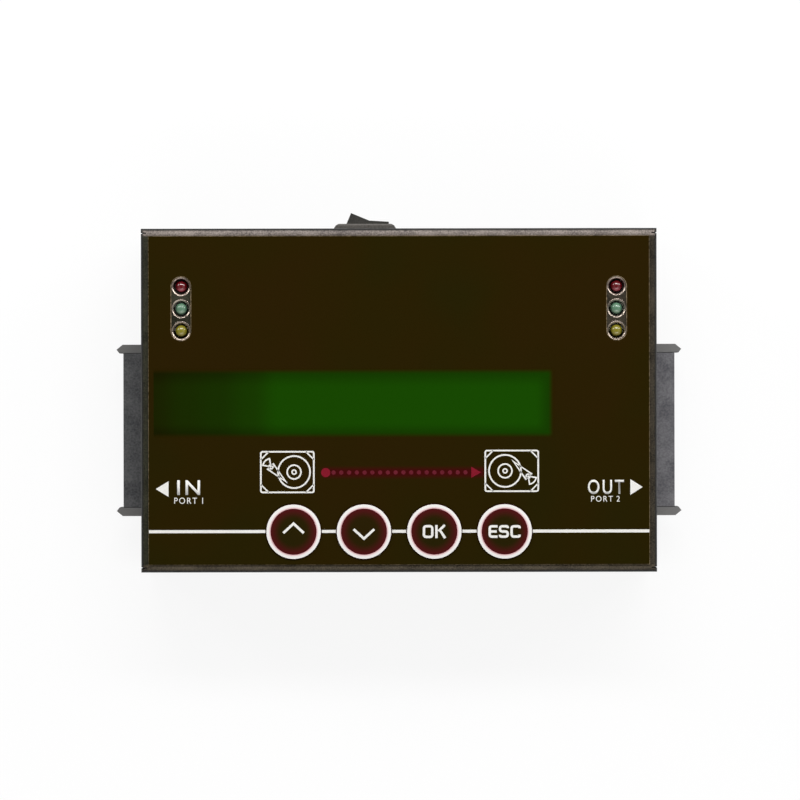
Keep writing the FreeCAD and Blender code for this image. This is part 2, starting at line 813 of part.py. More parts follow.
# ------------------------------------------------------------------------------- lamps
def make_lamps():
    """Round indicator lamps on tall spacers, with two leads down to the main board."""
    spots = {}
    for name, y in zip(LAMPS, lamp_row):
        spots[name] = [(x, y, lamp_foot, None) for x in (lamp_x, f"-{lamp_x}")]
    master = new_body("lamp_master")
    plan = new_sketch(master, "XY_Plane", "lamp_plan")
    turns = [360 / LAMP_SIDES * n for n in range(LAMP_SIDES)]
    radius = "lamp_diameter / 2"
    draw_polygon(plan, [(f"{radius} * cos({a})", f"{radius} * sin({a})") for a in turns])
    lens = pad(master, plan, "lamp_body", "lamp_pad")
    top = lens.Shape.BoundBox.ZMax
    bevel_edges(master, lens, lambda b: b.ZMin > top - NEAR, "lamp_bevel", "lamp_shoulder")
    for name in LAMPS:
        copies(f"{name}_lamps", master, spots[name])

    every = [(x, y) for name in LAMPS for x, y, _, _ in spots[name]]
    tube = new_body("spacer_master")
    plan = new_sketch(tube, "XY_Plane", "spacer_plan")
    draw_rectangle(plan, "0", "0", "spacer_width", "spacer_width")
    draw_rectangle(plan, "0", "0", "spacer_bore", "spacer_bore")
    pad(tube, plan, f"{lamp_foot} - {board_top}", "spacer_tube")
    copies("lamp_spacers", tube, [(x, y, board_top, None) for x, y in every])

    lead = doc.addObject("Part::Box", "lead_master")
    bind(lead, "Length", "lead_side")
    bind(lead, "Width", "lead_side")
    bind(lead, "Height", f"{lamp_foot} - {board_bottom} + lead_end")
    half = "lead_side / 2"
    pairs = []
    for x, y in every:
        for side in ("", "-"):
            across = f"{x} {side or '+'} lead_pitch / 2 - {half}"
            pairs.append((across, f"{y} - {half}", f"{board_bottom} - lead_end", None))
    copies("lamp_leads", lead, pairs)
    return every


# -------------------------------------------------------------------------- the display
def make_display():
    """A two-line character display, hung under the face on four posts."""
    bezel = new_body("lcd_bezel")
    plan = new_sketch(bezel, "XY_Plane", "bezel_plan")
    draw_rectangle(plan, "0", "0", lcd_bezel_length, lcd_bezel_width)
    frame = pad(bezel, plan, "lcd_bezel_height", "bezel_block")
    top = frame.Shape.BoundBox.ZMax
    round_edges(bezel, frame, lambda b: b.ZMin > top - NEAR, "lcd_bezel_sheet", "bezel_bends")
    inside = new_sketch(bezel, "XY_Plane", "bezel_inside")
    room = "2 * lcd_bezel_sheet"
    draw_rectangle(inside, "0", "0", f"{lcd_bezel_length} - {room}", f"{lcd_bezel_width} - {room}")
    pocket(bezel, inside, "lcd_bezel_height - lcd_bezel_sheet", "bezel_hollow", up=True)
    view = new_sketch(bezel, "XY_Plane", "bezel_view")
    draw_rectangle(view, "0", "0", "lcd_view_length", "lcd_view_height")
    pocket(bezel, view, "2 * lcd_bezel_height", "bezel_window", up=True)
    finish(bezel, "lcd_x", lcd_y, lcd_board_top)

    under = f"{bezel_top} - lcd_bezel_sheet"
    room = "2 * (lcd_bezel_sheet + lcd_gap)"
    length, width = f"{lcd_bezel_length} - {room}", f"{lcd_bezel_width} - {room}"
    block("lcd_glass", "lcd_x", lcd_y, f"{under} - lcd_glass_thick", length, width, "lcd_glass_thick")
    tall = f"{under} - lcd_glass_thick - {lcd_board_top}"
    block("lcd_backlight", "lcd_x", lcd_y, lcd_board_top, length, width, tall)

    board = new_body("lcd_board")
    outline = new_sketch(board, "XY_Plane", "lcd_board_plan")
    draw_rectangle(outline, "0", "0", lcd_board_length, lcd_board_width)
    pad(board, outline, "board_thick", "lcd_board_sheet")
    holes = new_sketch(board, "XY_Plane", "lcd_board_holes")
    for x, y, _, _ in corners(lcd_hole_x, lcd_hole_y):
        draw_hexagon(holes, x, y, "shank_flats + 2 * shank_play")
    pocket(board, holes, "2 * board_thick", "lcd_board_corner_holes", up=True)
    pins = new_sketch(board, "XY_Plane", "lcd_board_pin")
    start = f"lcd_pin_row_x - {LCD_PIN_COUNT - 1} / 2 * pin_pitch"
    draw_rectangle(pins, start, f"{lcd_board_width} / 2 - lcd_pin_edge", pin_hole, pin_hole)
    first = pocket(board, pins, "2 * board_thick", "lcd_board_first_pin", up=True)
    row_of(board, first, "lcd_board_pin_holes", LCD_PIN_COUNT, "pin_pitch", "H_Axis")
    finish(board, "lcd_x", lcd_y, lcd_board_bottom)


def make_pin_row(name, count, x, y, board_over, board_under):
    """A pin strip under one board, plugged into a socket on the main board."""
    length = f"{count} * pin_pitch"
    first = f"-({count - 1} / 2) * pin_pitch"
    strip_bottom = f"({board_under} - pin_strip)"

    strip = new_body(f"{name}_header")
    plan = new_sketch(strip, "XY_Plane", f"{name}_header_plan")
    draw_rectangle(plan, "0", "0", length, "pin_strip")
    pad(strip, plan, "pin_strip", f"{name}_header_block")
    hole = new_sketch(strip, "XY_Plane", f"{name}_header_hole")
    draw_rectangle(hole, first, "0", "pin_side", "pin_side")
    cut = pocket(strip, hole, "2 * pin_strip", f"{name}_header_first", up=True)
    row_of(strip, cut, f"{name}_header_holes", count, "pin_pitch", "H_Axis")
    finish(strip, x, y, strip_bottom)

    socket = new_body(f"{name}_socket")
    plan = new_sketch(socket, "XY_Plane", f"{name}_socket_plan")
    draw_rectangle(plan, "0", "0", length, "pin_strip")
    pad(socket, plan, "socket_height", f"{name}_socket_block")
    hole = new_sketch(socket, "XY_Plane", f"{name}_socket_hole", "socket_height")
    draw_rectangle(hole, first, "0", pin_hole, pin_hole)
    cut = pocket(socket, hole, "socket_height - pin_stub", f"{name}_socket_first")
    row_of(socket, cut, f"{name}_socket_holes", count, "pin_pitch", "H_Axis")
    finish(socket, x, y, board_top)

    low = f"({board_top} + 2 * pin_stub)"
    pin = doc.addObject("Part::Box", f"{name}_pin_master")
    bind(pin, "Length", "pin_side")
    bind(pin, "Width", "pin_side")
    bind(pin, "Height", f"{board_over} + pin_stub - {low}")
    spots = []
    for n in range(count):
        across = f"{x} + ({n} - {count - 1} / 2) * pin_pitch - pin_side / 2"
        spots.append((across, f"{y} - pin_side / 2", low, None))
    copies(f"{name}_pins", pin, spots)


# ------------------------------------------------------------------------------ boards
def make_main_board(lamps):
    """The main board, notched round the case posts."""
    board = new_body("main_board")
    plan = new_sketch(board, "XY_Plane", "main_board_plan")
    x, y, n = board_edge_x, board_edge_y, "board_notch"
    draw_polygon(
        plan,
        [
            (f"-{x} + {n}", f"-{y}"),
            (f"{x} - {n}", f"-{y}"),
            (f"{x} - {n}", f"-{y} + {n}"),
            (x, f"-{y} + {n}"),
            (x, f"{y} - {n}"),
            (f"{x} - {n}", f"{y} - {n}"),
            (f"{x} - {n}", y),
            (f"-{x} + {n}", y),
            (f"-{x} + {n}", f"{y} - {n}"),
            (f"-{x}", f"{y} - {n}"),
            (f"-{x}", f"-{y} + {n}"),
            (f"-{x} + {n}", f"-{y} + {n}"),
        ],
    )
    pad(board, plan, "board_thick", "main_board_sheet")
    holes = new_sketch(board, "XY_Plane", "main_board_holes")
    for px, py, _, _ in corners(board_post_x, board_post_y):
        draw_hexagon(holes, px, py, "shank_flats + 2 * shank_play")
    for sx, sy in (("", "+"), ("", "-"), ("-", "+"), ("-", "-")):
        peg_hole = "peg_side + 2 * bore_play"
        draw_rectangle(holes, f"{sx}{peg_x}", f"port_y {sy} {peg_y}", peg_hole, peg_hole)
    for leg in jack_legs:
        draw_rectangle(
            holes, "jack_x", leg, "jack_leg_width + 2 * bore_play", "jack_leg_thick + 2 * bore_play"
        )
    for lx, ly in lamps:
        for side in "+-":
            lead_hole = "lead_side + 2 * lead_play"
            draw_rectangle(holes, f"{lx} {side} lead_pitch / 2", ly, lead_hole, lead_hole)
    pocket(board, holes, "2 * board_thick", "main_board_drilled", up=True)
    finish(board, z=board_bottom)


def make_keypad_board():
    board = new_body("keypad_board")
    plan = new_sketch(board, "XY_Plane", "keypad_board_plan")
    draw_rectangle(plan, "0", "0", keypad_board_length, "keypad_board_width")
    pad(board, plan, "board_thick", "keypad_board_sheet")
    holes = new_sketch(board, "XY_Plane", "keypad_board_holes")
    for side in ("", "-"):
        draw_hexagon(holes, f"{side}{keypad_post_x}", "0", "shank_flats + 2 * shank_play")
    pocket(board, holes, "2 * board_thick", "keypad_board_drilled", up=True)
    pins = new_sketch(board, "XY_Plane", "keypad_board_pin")
    start = f"-({KEYPAD_PIN_COUNT - 1} / 2) * pin_pitch"
    draw_rectangle(pins, start, keypad_pin_offset, pin_hole, pin_hole)
    first = pocket(board, pins, "2 * board_thick", "keypad_board_first_pin", up=True)
    row_of(board, first, "keypad_board_pin_holes", KEYPAD_PIN_COUNT, "pin_pitch", "H_Axis")
    finish(board, "0", key_row_y, keypad_bottom)


# --------------------------------------------------------------------- posts and screws
def make_hexagon(name, flats, height, base="0"):
    prism = doc.addObject("Part::Prism", name)
    prism.Polygon = 6
    bind(prism, "Circumradius", f"{flats} / (2 * cos(30))")
    bind(prism, "Height", height)
    bind(prism, "Placement.Base.z", base)
    return prism


def make_case_post():
    """A hexagonal post with a plain bore for its screw."""
    bore = doc.addObject("Part::Cylinder", "case_post_bore")
    bind(bore, "Radius", "screw_thread / 2 + bore_play")
    bind(bore, "Height", case_post_height)
    post = doc.addObject("Part::Cut", "case_post_master")
    post.Base = make_hexagon("case_post_hexagon", "case_post_flats", case_post_height)
    post.Tool = bore
    return post


def make_riveted_post(name, height):
    """A hexagonal post whose shank goes through a board and is spread over behind it."""
    post = doc.addObject("Part::MultiFuse", f"{name}_post_master")
    post.Shapes = [
        make_hexagon(f"{name}_post_hexagon", "post_flats", height),
        make_hexagon(f"{name}_post_shank", "shank_flats", "board_thick", height),
        make_hexagon(f"{name}_post_rivet", "rivet_flats", "rivet_thick", f"{height} + board_thick"),
    ]
    return post


def make_case_screw():
    """A hexagon head screw, standing on its thread with its head up."""
    shank = doc.addObject("Part::Cylinder", "case_screw_shank")
    bind(shank, "Radius", "screw_thread / 2")
    bind(shank, "Height", "screw_length")
    bind(shank, "Placement.Base.z", "-screw_length")
    screw = doc.addObject("Part::MultiFuse", "case_screw_master")
    screw.Shapes = [shank, make_hexagon("case_screw_head", "screw_flats", "screw_head_thick")]
    return screw


def make_fasteners():
    case_spots = corners(case_post_x, case_post_y, base_top)
    copies("case_posts", make_case_post(), case_spots)
    screw_spots = corners(case_post_x, case_post_y, "foot_height", UPSIDE_DOWN)
    copies("case_screws", make_case_screw(), screw_spots)

    board_spots = corners(board_post_x, board_post_y, base_top)
    copies("board_posts", make_riveted_post("board", "board_post_height"), board_spots)
    lcd_spots = []
    for x, y, _, _ in corners(lcd_hole_x, lcd_hole_y):
        lcd_spots.append((f"lcd_x + {x}", f"{lcd_y} + {y}", face_under, UPSIDE_DOWN))
    copies("lcd_posts", make_riveted_post("lcd", lcd_post_height), lcd_spots)
    keypad_spots = []
    for side in ("", "-"):
        keypad_spots.append((f"{side}{keypad_post_x}", key_row_y, face_under, UPSIDE_DOWN))
    copies("keypad_posts", make_riveted_post("keypad", keypad_post_height), keypad_spots)


# --------------------------------------------------------------------------- the ports
def make_port(name, turn, side):
    """A moulded receptacle with two L-shaped slots between a pair of guide horns."""
    body = new_body(f"{name}_port")
    plan = new_sketch(body, "XY_Plane", f"{name}_port_plan")
    half, core = port_half, f"({port_length} / 2)"
    tip = f"({port_depth} + guide_reach)"
    outline = [
        ("0", f"-{half}"),
        (f"{tip} - guide_taper", f"-{half}"),
        (tip, f"-{core} - guide_nose"),
        (f"{tip} - guide_lead", f"-{core}"),
        (port_depth, f"-{core}"),
        (port_depth, core),
        (f"{tip} - guide_lead", core),
        (tip, f"{core} + guide_nose"),
        (f"{tip} - guide_taper", half),
        ("0", half),
    ]
    draw_polygon(plan, outline)
    pad(body, plan, "port_height", f"{name}_port_block")

    seat = f"({board_top} - {port_bottom})"
    feet = new_sketch(body, "XY_Plane", f"{name}_port_feet", seat)
    run = "port_foot + port_board_gap"
    for sy in ("", "-"):
        draw_rectangle(feet, f"-({run}) / 2", f"{sy}{peg_y}", run, "port_foot_width")
    pad(body, feet, "port_foot_thick", f"{name}_port_foot_pads")
    pegs = new_sketch(body, "XY_Plane", f"{name}_port_pegs", seat)
    for sy in ("", "-"):
        draw_rectangle(pegs, "-port_board_gap - port_foot / 2", f"{sy}{peg_y}", "peg_side", "peg_side")
    pad(body, pegs, "peg_length", f"{name}_port_peg_pads", down=True)

    slots = new_sketch(body, "YZ_Plane", f"{name}_port_slots", port_depth)
    for middle, length, _ in TONGUES:
        low, high = slot_floor, f"{slot_floor} + tongue_slot"
        near, far = f"{middle} - {length} / 2", f"{middle} + {length} / 2"
        draw_polygon(
            slots,
            [
                (near, low),
                (f"{far} - key_leg_width", low),
                (f"{far} - key_leg_width", f"{low} - key_leg"),
                (far, f"{low} - key_leg"),
                (far, high),
                (near, high),
            ],
        )
    mouth = pocket(body, slots, "tongue_depth", f"{name}_port_slot_cuts")
    face = worth(port_depth)
    inside = worth(core) - NEAR

    def mouth_edge(b):
        flat = abs(b.XMin - face) < NEAR and b.XLength < NEAR
        return flat and b.YMin > -inside and b.YMax < inside and b.ZMin > NEAR and b.ZMax < high_rim

    high_rim = worth("port_height") - NEAR
    bevel_edges(body, mouth, mouth_edge, "slot_lead_in", f"{name}_port_lead_in")

    pitch = "contact_pitch"
    for number, (middle, _, count) in enumerate(TONGUES, start=1):
        groove = new_sketch(body, "YZ_Plane", f"{name}_port_groove_{number}")
        first = f"{middle} - {count - 1} / 2 * {pitch}"
        middle_z = f"{slot_floor} - contact_thick / 2"
        wide = "contact_width + 2 * contact_play"
        draw_rectangle(groove, first, middle_z, wide, "contact_thick")
        run = f"{port_depth} - contact_set_back"
        cut = pocket(body, groove, run, f"{name}_port_groove_cut_{number}", up=True)
        row_of(body, cut, f"{name}_port_grooves_{number}", count, pitch, "H_Axis")
    finish(body, f"{side}{port_start}", "port_y", port_bottom, turn)

    strip = new_body(f"{name}_contact_master")
    section = new_sketch(strip, "XZ_Plane", f"{name}_contact_section")
    end = f"({port_depth} - contact_set_back)"
    draw_polygon(
        section,
        [
            ("-port_board_gap - contact_tail", "0"),
            (end, "0"),
            (end, "contact_thick"),
            (f"{end} - contact_ramp", "contact_thick + contact_bump"),
            (f"{end} - contact_ramp - contact_crest", "contact_thick + contact_bump"),
            (f"{end} - contact_ramp - contact_crest - contact_slope", "contact_thick"),
            ("-port_board_gap - contact_tail", "contact_thick"),
        ],
    )
    pad(strip, section, "contact_width", f"{name}_contact_strip", middle=True)
    spots = []
    flip = "-" if turn else "+"
    for middle, _, count in TONGUES:
        for n in range(count):
            y = f"port_y {flip} ({middle} + ({n} - {count - 1} / 2) * {pitch})"
            spots.append((f"{side}{port_start}", y, board_top, turn))
    copies(f"{name}_contacts", strip, spots)


# -------------------------------------------------------------------- the power switch
def make_rocker():
    """A snap-in rocker switch; its own Y runs out of the back of the case."""
    housing = new_body("rocker_housing")
    flange = new_sketch(housing, "XZ_Plane", "rocker_flange_plan")
    lip = "2 * rocker_lip"
    draw_rectangle(
        flange, "0", "0", f"{rocker_body_length} + {lip}", f"{rocker_body_width} + {lip}"
    )
    rim = pad(housing, flange, "rocker_flange", "rocker_flange_pad")
    outer = rim.Shape.BoundBox.YMax
    bevel_edges(housing, rim, lambda b: b.YMin > outer - NEAR, "rocker_shoulder", "rocker_bevel")
    shell = new_sketch(housing, "XZ_Plane", "rocker_shell_plan", "rocker_flange")
    draw_rectangle(shell, "0", "0", rocker_body_length, rocker_body_width)
    pad(housing, shell, "rocker_body_depth", "rocker_shell")

    snaps = new_sketch(housing, "XY_Plane", "rocker_snaps")
    for side in ("", "-"):
        flank = f"{side}({rocker_body_length} / 2)"
        behind = "-rocker_flange - sheet_thick"
        draw_polygon(
            snaps,
            [
                (flank, behind),
                (f"{side}({rocker_body_length} / 2 + snap_reach)", behind),
                (flank, f"{behind} - snap_length"),
            ],
        )
    pad(housing, snaps, "snap_width", "rocker_snap_lugs", middle=True)

    well = new_sketch(housing, "XZ_Plane", "rocker_well_plan")
    draw_rectangle(well, "0", "0", "rocker_opening", "rocker_well")
    pocket(housing, well, "rocker_pivot_depth + rocker_under", "rocker_well_cut", up=True)
    pivot = new_sketch(housing, "XY_Plane", "rocker_pivot")
    draw_circle(pivot, "0", "-rocker_pivot_depth", "trunnion_diameter + 2 * trunnion_play")
    pocket(housing, pivot, f"2 * {rocker_body_width}", "rocker_pivot_holes", middle=True)
    back = new_sketch(housing, "XZ_Plane", "rocker_back", "rocker_flange + rocker_body_depth")
    for side in ("", "-"):
        draw_rectangle(back, f"{side}blade_x", "0", "blade_thick", "blade_width")
    pocket(housing, back, "blade_seat", "rocker_blade_seats")
    finish(housing, "rocker_x", f"{case_half_y} + rocker_flange", wall_mid)

    paddle = new_body("rocker_paddle")
    side_view = new_sketch(paddle, "XY_Plane", "paddle_section")
    tip = "rocker_pivot_depth + rocker_tip_height"
    base = "rocker_pivot_depth - rocker_cheek"
    draw_polygon(
        side_view,
        [
            ("-rocker_keel", "-rocker_skirt"),
            ("rocker_keel", "-rocker_skirt"),
            (rocker_base_reach, "0"),
            (rocker_base_reach, base),
            (rocker_tip_reach, tip),
            ("0", f"{tip} - rocker_dip"),
            (f"-{rocker_tip_reach}", tip),
            (f"-{rocker_base_reach}", base),
            (f"-{rocker_base_reach}", "0"),
        ],
    )
    pad(paddle, side_view, "rocker_well - 2 * rocker_play", "paddle_block", middle=True)
    axle = new_sketch(paddle, "XY_Plane", "paddle_axle")
    draw_circle(axle, "0", "0", "trunnion_diameter")
    pad(paddle, axle, "rocker_well + 2 * trunnion_length", "paddle_trunnions", middle=True)
    finish(paddle, "rocker_x", pivot_y, wall_mid, Rotation(-UP, SIZES["rocker_tilt"]))
    bind(paddle, "Placement.Rotation.Angle", "rocker_tilt")

    blade = doc.addObject("Part::Box", "blade_master")
    bind(blade, "Length", "blade_thick")
    bind(blade, "Width", "blade_length + blade_seat")
    bind(blade, "Height", "blade_width")
    shell_back = f"({case_half_y} - rocker_body_depth)"
    blade_end = f"({shell_back} - blade_length)"
    ends = ["rocker_x + blade_x", "rocker_x - blade_x"]
    low = f"{wall_mid} - blade_width / 2"
    copies("rocker_terminals", blade, [(f"{x} - blade_thick / 2", blade_end, low, None) for x in ends])

    wire = doc.addObject("Part::Cylinder", "wire_master")
    bind(wire, "Radius", "wire_diameter / 2")
    bind(wire, "Height", f"{low} - {board_top}")
    copies("rocker_wires", wire, [(x, f"{blade_end} + wire_inset", board_top, None) for x in ends])


# ---------------------------------------------------------------------- the power jack
def make_jack():
    """A barrel jack on the back edge of the board, facing its hole in the case."""
    body = new_body("jack_body")
    face = new_sketch(body, "XZ_Plane", "jack_face")
    draw_rectangle(face, "0", f"{jack_height} / 2", "jack_width", jack_height)
    pad(body, face, "jack_face_length", "jack_front")
    barrel = new_sketch(body, "XZ_Plane", "jack_barrel", "jack_face_length")
    draw_circle(barrel, "0", "jack_axis", "jack_width - 2 * jack_step")
    pad(body, barrel, "jack_length - jack_face_length", "jack_barrel_pad")
    saddle = new_sketch(body, "XZ_Plane", "jack_saddle", "jack_face_length")
    draw_rectangle(saddle, "0", "jack_axis / 2", "jack_width - 2 * jack_step", "jack_axis")
    pad(body, saddle, "jack_length - jack_face_length", "jack_saddle_pad")
    bore = new_sketch(body, "XZ_Plane", "jack_bore_plan")
    draw_circle(bore, "0", "jack_axis", "jack_bore")
    pocket(body, bore, "jack_bore_depth", "jack_bore_cut", up=True)
    seat = new_sketch(body, "XZ_Plane", "jack_pin_plan")
    draw_rectangle(seat, "0", "jack_axis", "jack_neck", "jack_neck")
    pocket(body, seat, "jack_bore_depth + jack_pin_seat", "jack_pin_hole", up=True)
    finish(body, "jack_x", jack_front, board_top)

    # The pin narrows to a square neck where it goes into the body.
    pin = new_body("jack_pin")
    barrel = new_sketch(pin, "XZ_Plane", "jack_pin_barrel", "jack_pin_back")
    draw_circle(barrel, "0", "jack_axis", "jack_pin")
    pad(pin, barrel, "jack_bore_depth - jack_pin_back - jack_neck_gap", "jack_pin_barrel_pad")
    neck = new_sketch(pin, "XZ_Plane", "jack_pin_neck", "jack_bore_depth - jack_neck_gap")
    draw_rectangle(neck, "0", "jack_axis", "jack_neck", "jack_neck")
    pad(pin, neck, "jack_neck_gap + jack_pin_seat", "jack_pin_neck_pad")
    finish(pin, "jack_x", jack_front, board_top)

    leg = doc.addObject("Part::Box", "jack_leg_master")
    bind(leg, "Length", "jack_leg_width")
    bind(leg, "Width", "jack_leg_thick")
    bind(leg, "Height", "board_thick + lead_end")
    spots = [
        ("jack_x - jack_leg_width / 2", f"{y} - jack_leg_thick / 2", f"{board_bottom} - lead_end", None)
        for y in jack_legs
    ]
    copies("jack_legs", leg, spots)


# ------------------------------------------------------------------------- electronics
def make_electronics():
    block("processor", "chip_x", "chip_y", board_top, "chip_side", "chip_side", "chip_thick")
    sink = new_body("heat_sink")
    plan = new_sketch(sink, "XY_Plane", "heat_sink_plan")
    draw_rectangle(plan, "0", "0", "chip_side", "chip_side")
    pad(sink, plan, "sink_floor", "heat_sink_floor")
    fin = new_sketch(sink, "XY_Plane", "heat_sink_fin")
    draw_rectangle(fin, "(fin_thick - chip_side) / 2", "0", "fin_thick", "chip_side")
    first = pad(sink, fin, "sink_height", "heat_sink_first_fin")
    pitch = f"(chip_side - fin_thick) / {FIN_COUNT - 1}"
    row_of(sink, first, "heat_sink_fins", FIN_COUNT, pitch, "H_Axis")
    finish(sink, "chip_x", "chip_y", f"{board_top} + chip_thick")

    memory = doc.addObject("Part::Box", "memory_master")
    bind(memory, "Length", "memory_length")
    bind(memory, "Width", "memory_width")
    bind(memory, "Height", "memory_thick")
    x = "memory_x - memory_length / 2"
    y = "memory_y - memory_width / 2"
    spots = [(x, y, board_top, None), (x, f"{y} - memory_pitch", board_top, None)]
    copies("memory_chips", memory, spots)

    coil = new_body("coil_master")
    plan = new_sketch(coil, "XY_Plane", "coil_plan")
    draw_rectangle(plan, "0", "0", "coil_side", "coil_side")
    cube = pad(coil, plan, "coil_height", "coil_block")
    tall = cube.Shape.BoundBox.ZMax / 2
    bevel_edges(coil, cube, lambda b: b.ZLength > tall, "coil_corner", "coil_corners")
    x, y = f"{board_edge_x} - coil_side_inset", f"{board_edge_y} - coil_back_inset"
    copies("power_coils", coil, [(x, y, board_top, None), (f"{x} + coil_pitch", y, board_top, None)])

    can = new_body("can_master")
    plan = new_sketch(can, "XY_Plane", "can_plan")
    side = "can_diameter + 2 * can_base_play"
    draw_rectangle(plan, "0", "0", side, side)
    pad(can, plan, "can_base", "can_base_block")
    circle = new_sketch(can, "XY_Plane", "can_circle", "can_base")
    draw_circle(circle, "0", "0", "can_diameter")
    pad(can, circle, "can_height - can_base", "can_sleeve")
    x, y = f"can_side_inset - {board_edge_x}", f"{board_edge_y} - can_back_inset"
    copies("capacitors", can, [(f"{x} + {n} * can_pitch", y, board_top, None) for n in (0, 1)])

    buzzer = doc.addObject("Part::Cylinder", "buzzer")
    buzzer.Label = "buzzer"
    bind(buzzer, "Radius", "buzzer_diameter / 2")
    bind(buzzer, "Height", "buzzer_height")
    finish(buzzer, f"buzzer_side_inset - {board_edge_x}", "buzzer_y", board_top)

    crystal = new_body("crystal")
    plan = new_sketch(crystal, "XY_Plane", "crystal_plan")
    draw_stadium(plan, "0", "0", "crystal_length", "crystal_width")
    pad(crystal, plan, "crystal_height", "crystal_can")
    finish(crystal, "crystal_x", "crystal_y", board_top)


# -------------------------------------------------------------------------- everything
make_top_cover()
make_base_plate()
make_feet()
make_panel_overlay()
make_display_window()
make_keys()
make_key_switches()
lamp_spots = make_lamps()
make_display()
make_main_board(lamp_spots)
make_keypad_board()
make_pin_row("lcd", LCD_PIN_COUNT, lcd_pins_x, lcd_pin_y, lcd_board_top, lcd_board_bottom)
make_pin_row("keypad", KEYPAD_PIN_COUNT, "0", keypad_pin_y, keypad_top, keypad_bottom)
make_fasteners()
make_port("source", HALF_TURN, "-")
make_port("target", None, "")
make_rocker()
make_jack()
make_electronics()
doc.recompute()

failed = [item.Name for item in doc.Objects if {"Invalid", "Error"} & set(item.State)]
for piece in finished:
    if piece.Shape.isNull() or not piece.Shape.isValid():
        failed.append(piece.Label)
if failed:
    raise RuntimeError("these did not build: " + ", ".join(failed))

os.makedirs("parts", exist_ok=True)
whole = FreeCAD.BoundBox()
for piece in finished:
    piece.Shape.exportStep(f"parts/{piece.Label}.step")
    whole.add(piece.Shape.BoundBox)
print(len(finished), "sub-parts", whole)
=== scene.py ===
import json
import math

import bmesh
import bpy
from mathutils import Matrix, Vector


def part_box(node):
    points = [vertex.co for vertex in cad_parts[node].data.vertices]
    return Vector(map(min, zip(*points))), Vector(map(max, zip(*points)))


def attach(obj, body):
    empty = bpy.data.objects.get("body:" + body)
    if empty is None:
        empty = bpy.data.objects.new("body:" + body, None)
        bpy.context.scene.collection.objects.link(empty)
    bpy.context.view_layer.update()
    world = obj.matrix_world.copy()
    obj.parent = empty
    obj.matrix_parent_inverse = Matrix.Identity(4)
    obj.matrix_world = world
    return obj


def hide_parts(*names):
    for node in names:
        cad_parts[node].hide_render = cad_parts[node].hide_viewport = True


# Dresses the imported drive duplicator. Metres, +X target port, +Y power switch, +Z out of the panel.

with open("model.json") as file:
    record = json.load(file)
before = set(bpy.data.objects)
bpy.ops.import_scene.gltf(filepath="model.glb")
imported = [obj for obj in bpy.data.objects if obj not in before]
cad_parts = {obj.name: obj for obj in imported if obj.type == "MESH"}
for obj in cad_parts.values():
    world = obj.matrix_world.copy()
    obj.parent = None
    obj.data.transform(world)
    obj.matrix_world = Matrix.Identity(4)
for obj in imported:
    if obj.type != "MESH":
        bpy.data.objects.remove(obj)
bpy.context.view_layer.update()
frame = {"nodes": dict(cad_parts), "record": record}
nodes = frame["nodes"]
mm = 0.001

panelLow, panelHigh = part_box("panel_overlay")
panelTop = panelHigh.z
panelMid = Vector(((panelLow.x + panelHigh.x) / 2, (panelLow.y + panelHigh.y) / 2))
windowLow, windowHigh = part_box("display_window")
keyNames = ("up", "down", "ok", "esc")
keySpots = {}
for name in keyNames:
    low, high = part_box("key_" + name)
    keySpots[name] = Vector(((low.x + high.x) / 2, (low.y + high.y) / 2))
print("frame loaded:", len(nodes), "nodes")


# colours and shader nodes
def shade(red, green, blue):  # a colour as it should look, 0 to 255
    parts = [c / 255 for c in (red, green, blue)]
    return tuple(c / 12.92 if c <= 0.04045 else ((c + 0.055) / 1.055) ** 2.4 for c in parts) + (1.0,)


def newMaterial(name, rough, specular=0.5, metallic=0.0, coat=0.0):
    material = bpy.data.materials.new(name)
    material.use_nodes = True
    tree = material.node_tree
    shader = tree.nodes["Principled BSDF"]
    shader.inputs["Roughness"].default_value = rough
    shader.inputs["Specular IOR Level"].default_value = specular
    shader.inputs["Metallic"].default_value = metallic
    shader.inputs["Coat Weight"].default_value = coat
    shader.inputs["Coat Roughness"].default_value = 0.08
    return material, tree, shader


def addNode(tree, kind, inputs=(), **settings):
    node = tree.nodes.new(kind)
    for key, value in settings.items():
        setattr(node, key, value)
    for key, value in dict(inputs).items():
        if isinstance(value, bpy.types.NodeSocket):
            tree.links.new(value, node.inputs[key])
        else:
            node.inputs[key].default_value = value
    return node


def objectCoords(tree, centre=None):  # object coordinates, moved so that centre is their zero
    coords = addNode(tree, "ShaderNodeTexCoord").outputs["Object"]
    if centre is None:
        return coords
    shift = (-centre[0], -centre[1], -centre[2])
    return addNode(tree, "ShaderNodeMapping", {"Vector": coords, "Location": shift}).outputs["Vector"]


def noise(tree, coords, scale, detail=3.0, rough=0.55):
    spec = {"Vector": coords, "Scale": scale, "Detail": detail, "Roughness": rough}
    return addNode(tree, "ShaderNodeTexNoise", spec).outputs["Fac"]


def ramp(tree, factor, stops, blend="LINEAR"):  # stops are (place, colour) pairs
    node = addNode(tree, "ShaderNodeValToRGB", {"Fac": factor})
    node.color_ramp.interpolation = blend
    marks = node.color_ramp.elements
    marks[0].position, marks[0].color = stops[0]
    marks[1].position, marks[1].color = stops[-1]
    for place, colour in stops[1:-1]:
        marks.new(place).color = colour
    return node.outputs["Color"]


def remap(tree, value, low, high, start=0.0, end=1.0, smooth=True):
    kind = "SMOOTHSTEP" if smooth else "LINEAR"
    spec = {"Value": value, "From Min": low, "From Max": high, "To Min": start, "To Max": end}
    return addNode(tree, "ShaderNodeMapRange", spec, interpolation_type=kind).outputs["Result"]


def mathNode(tree, operation, a, b=0.0):
    return addNode(tree, "ShaderNodeMath", {0: a, 1: b}, operation=operation).outputs[0]


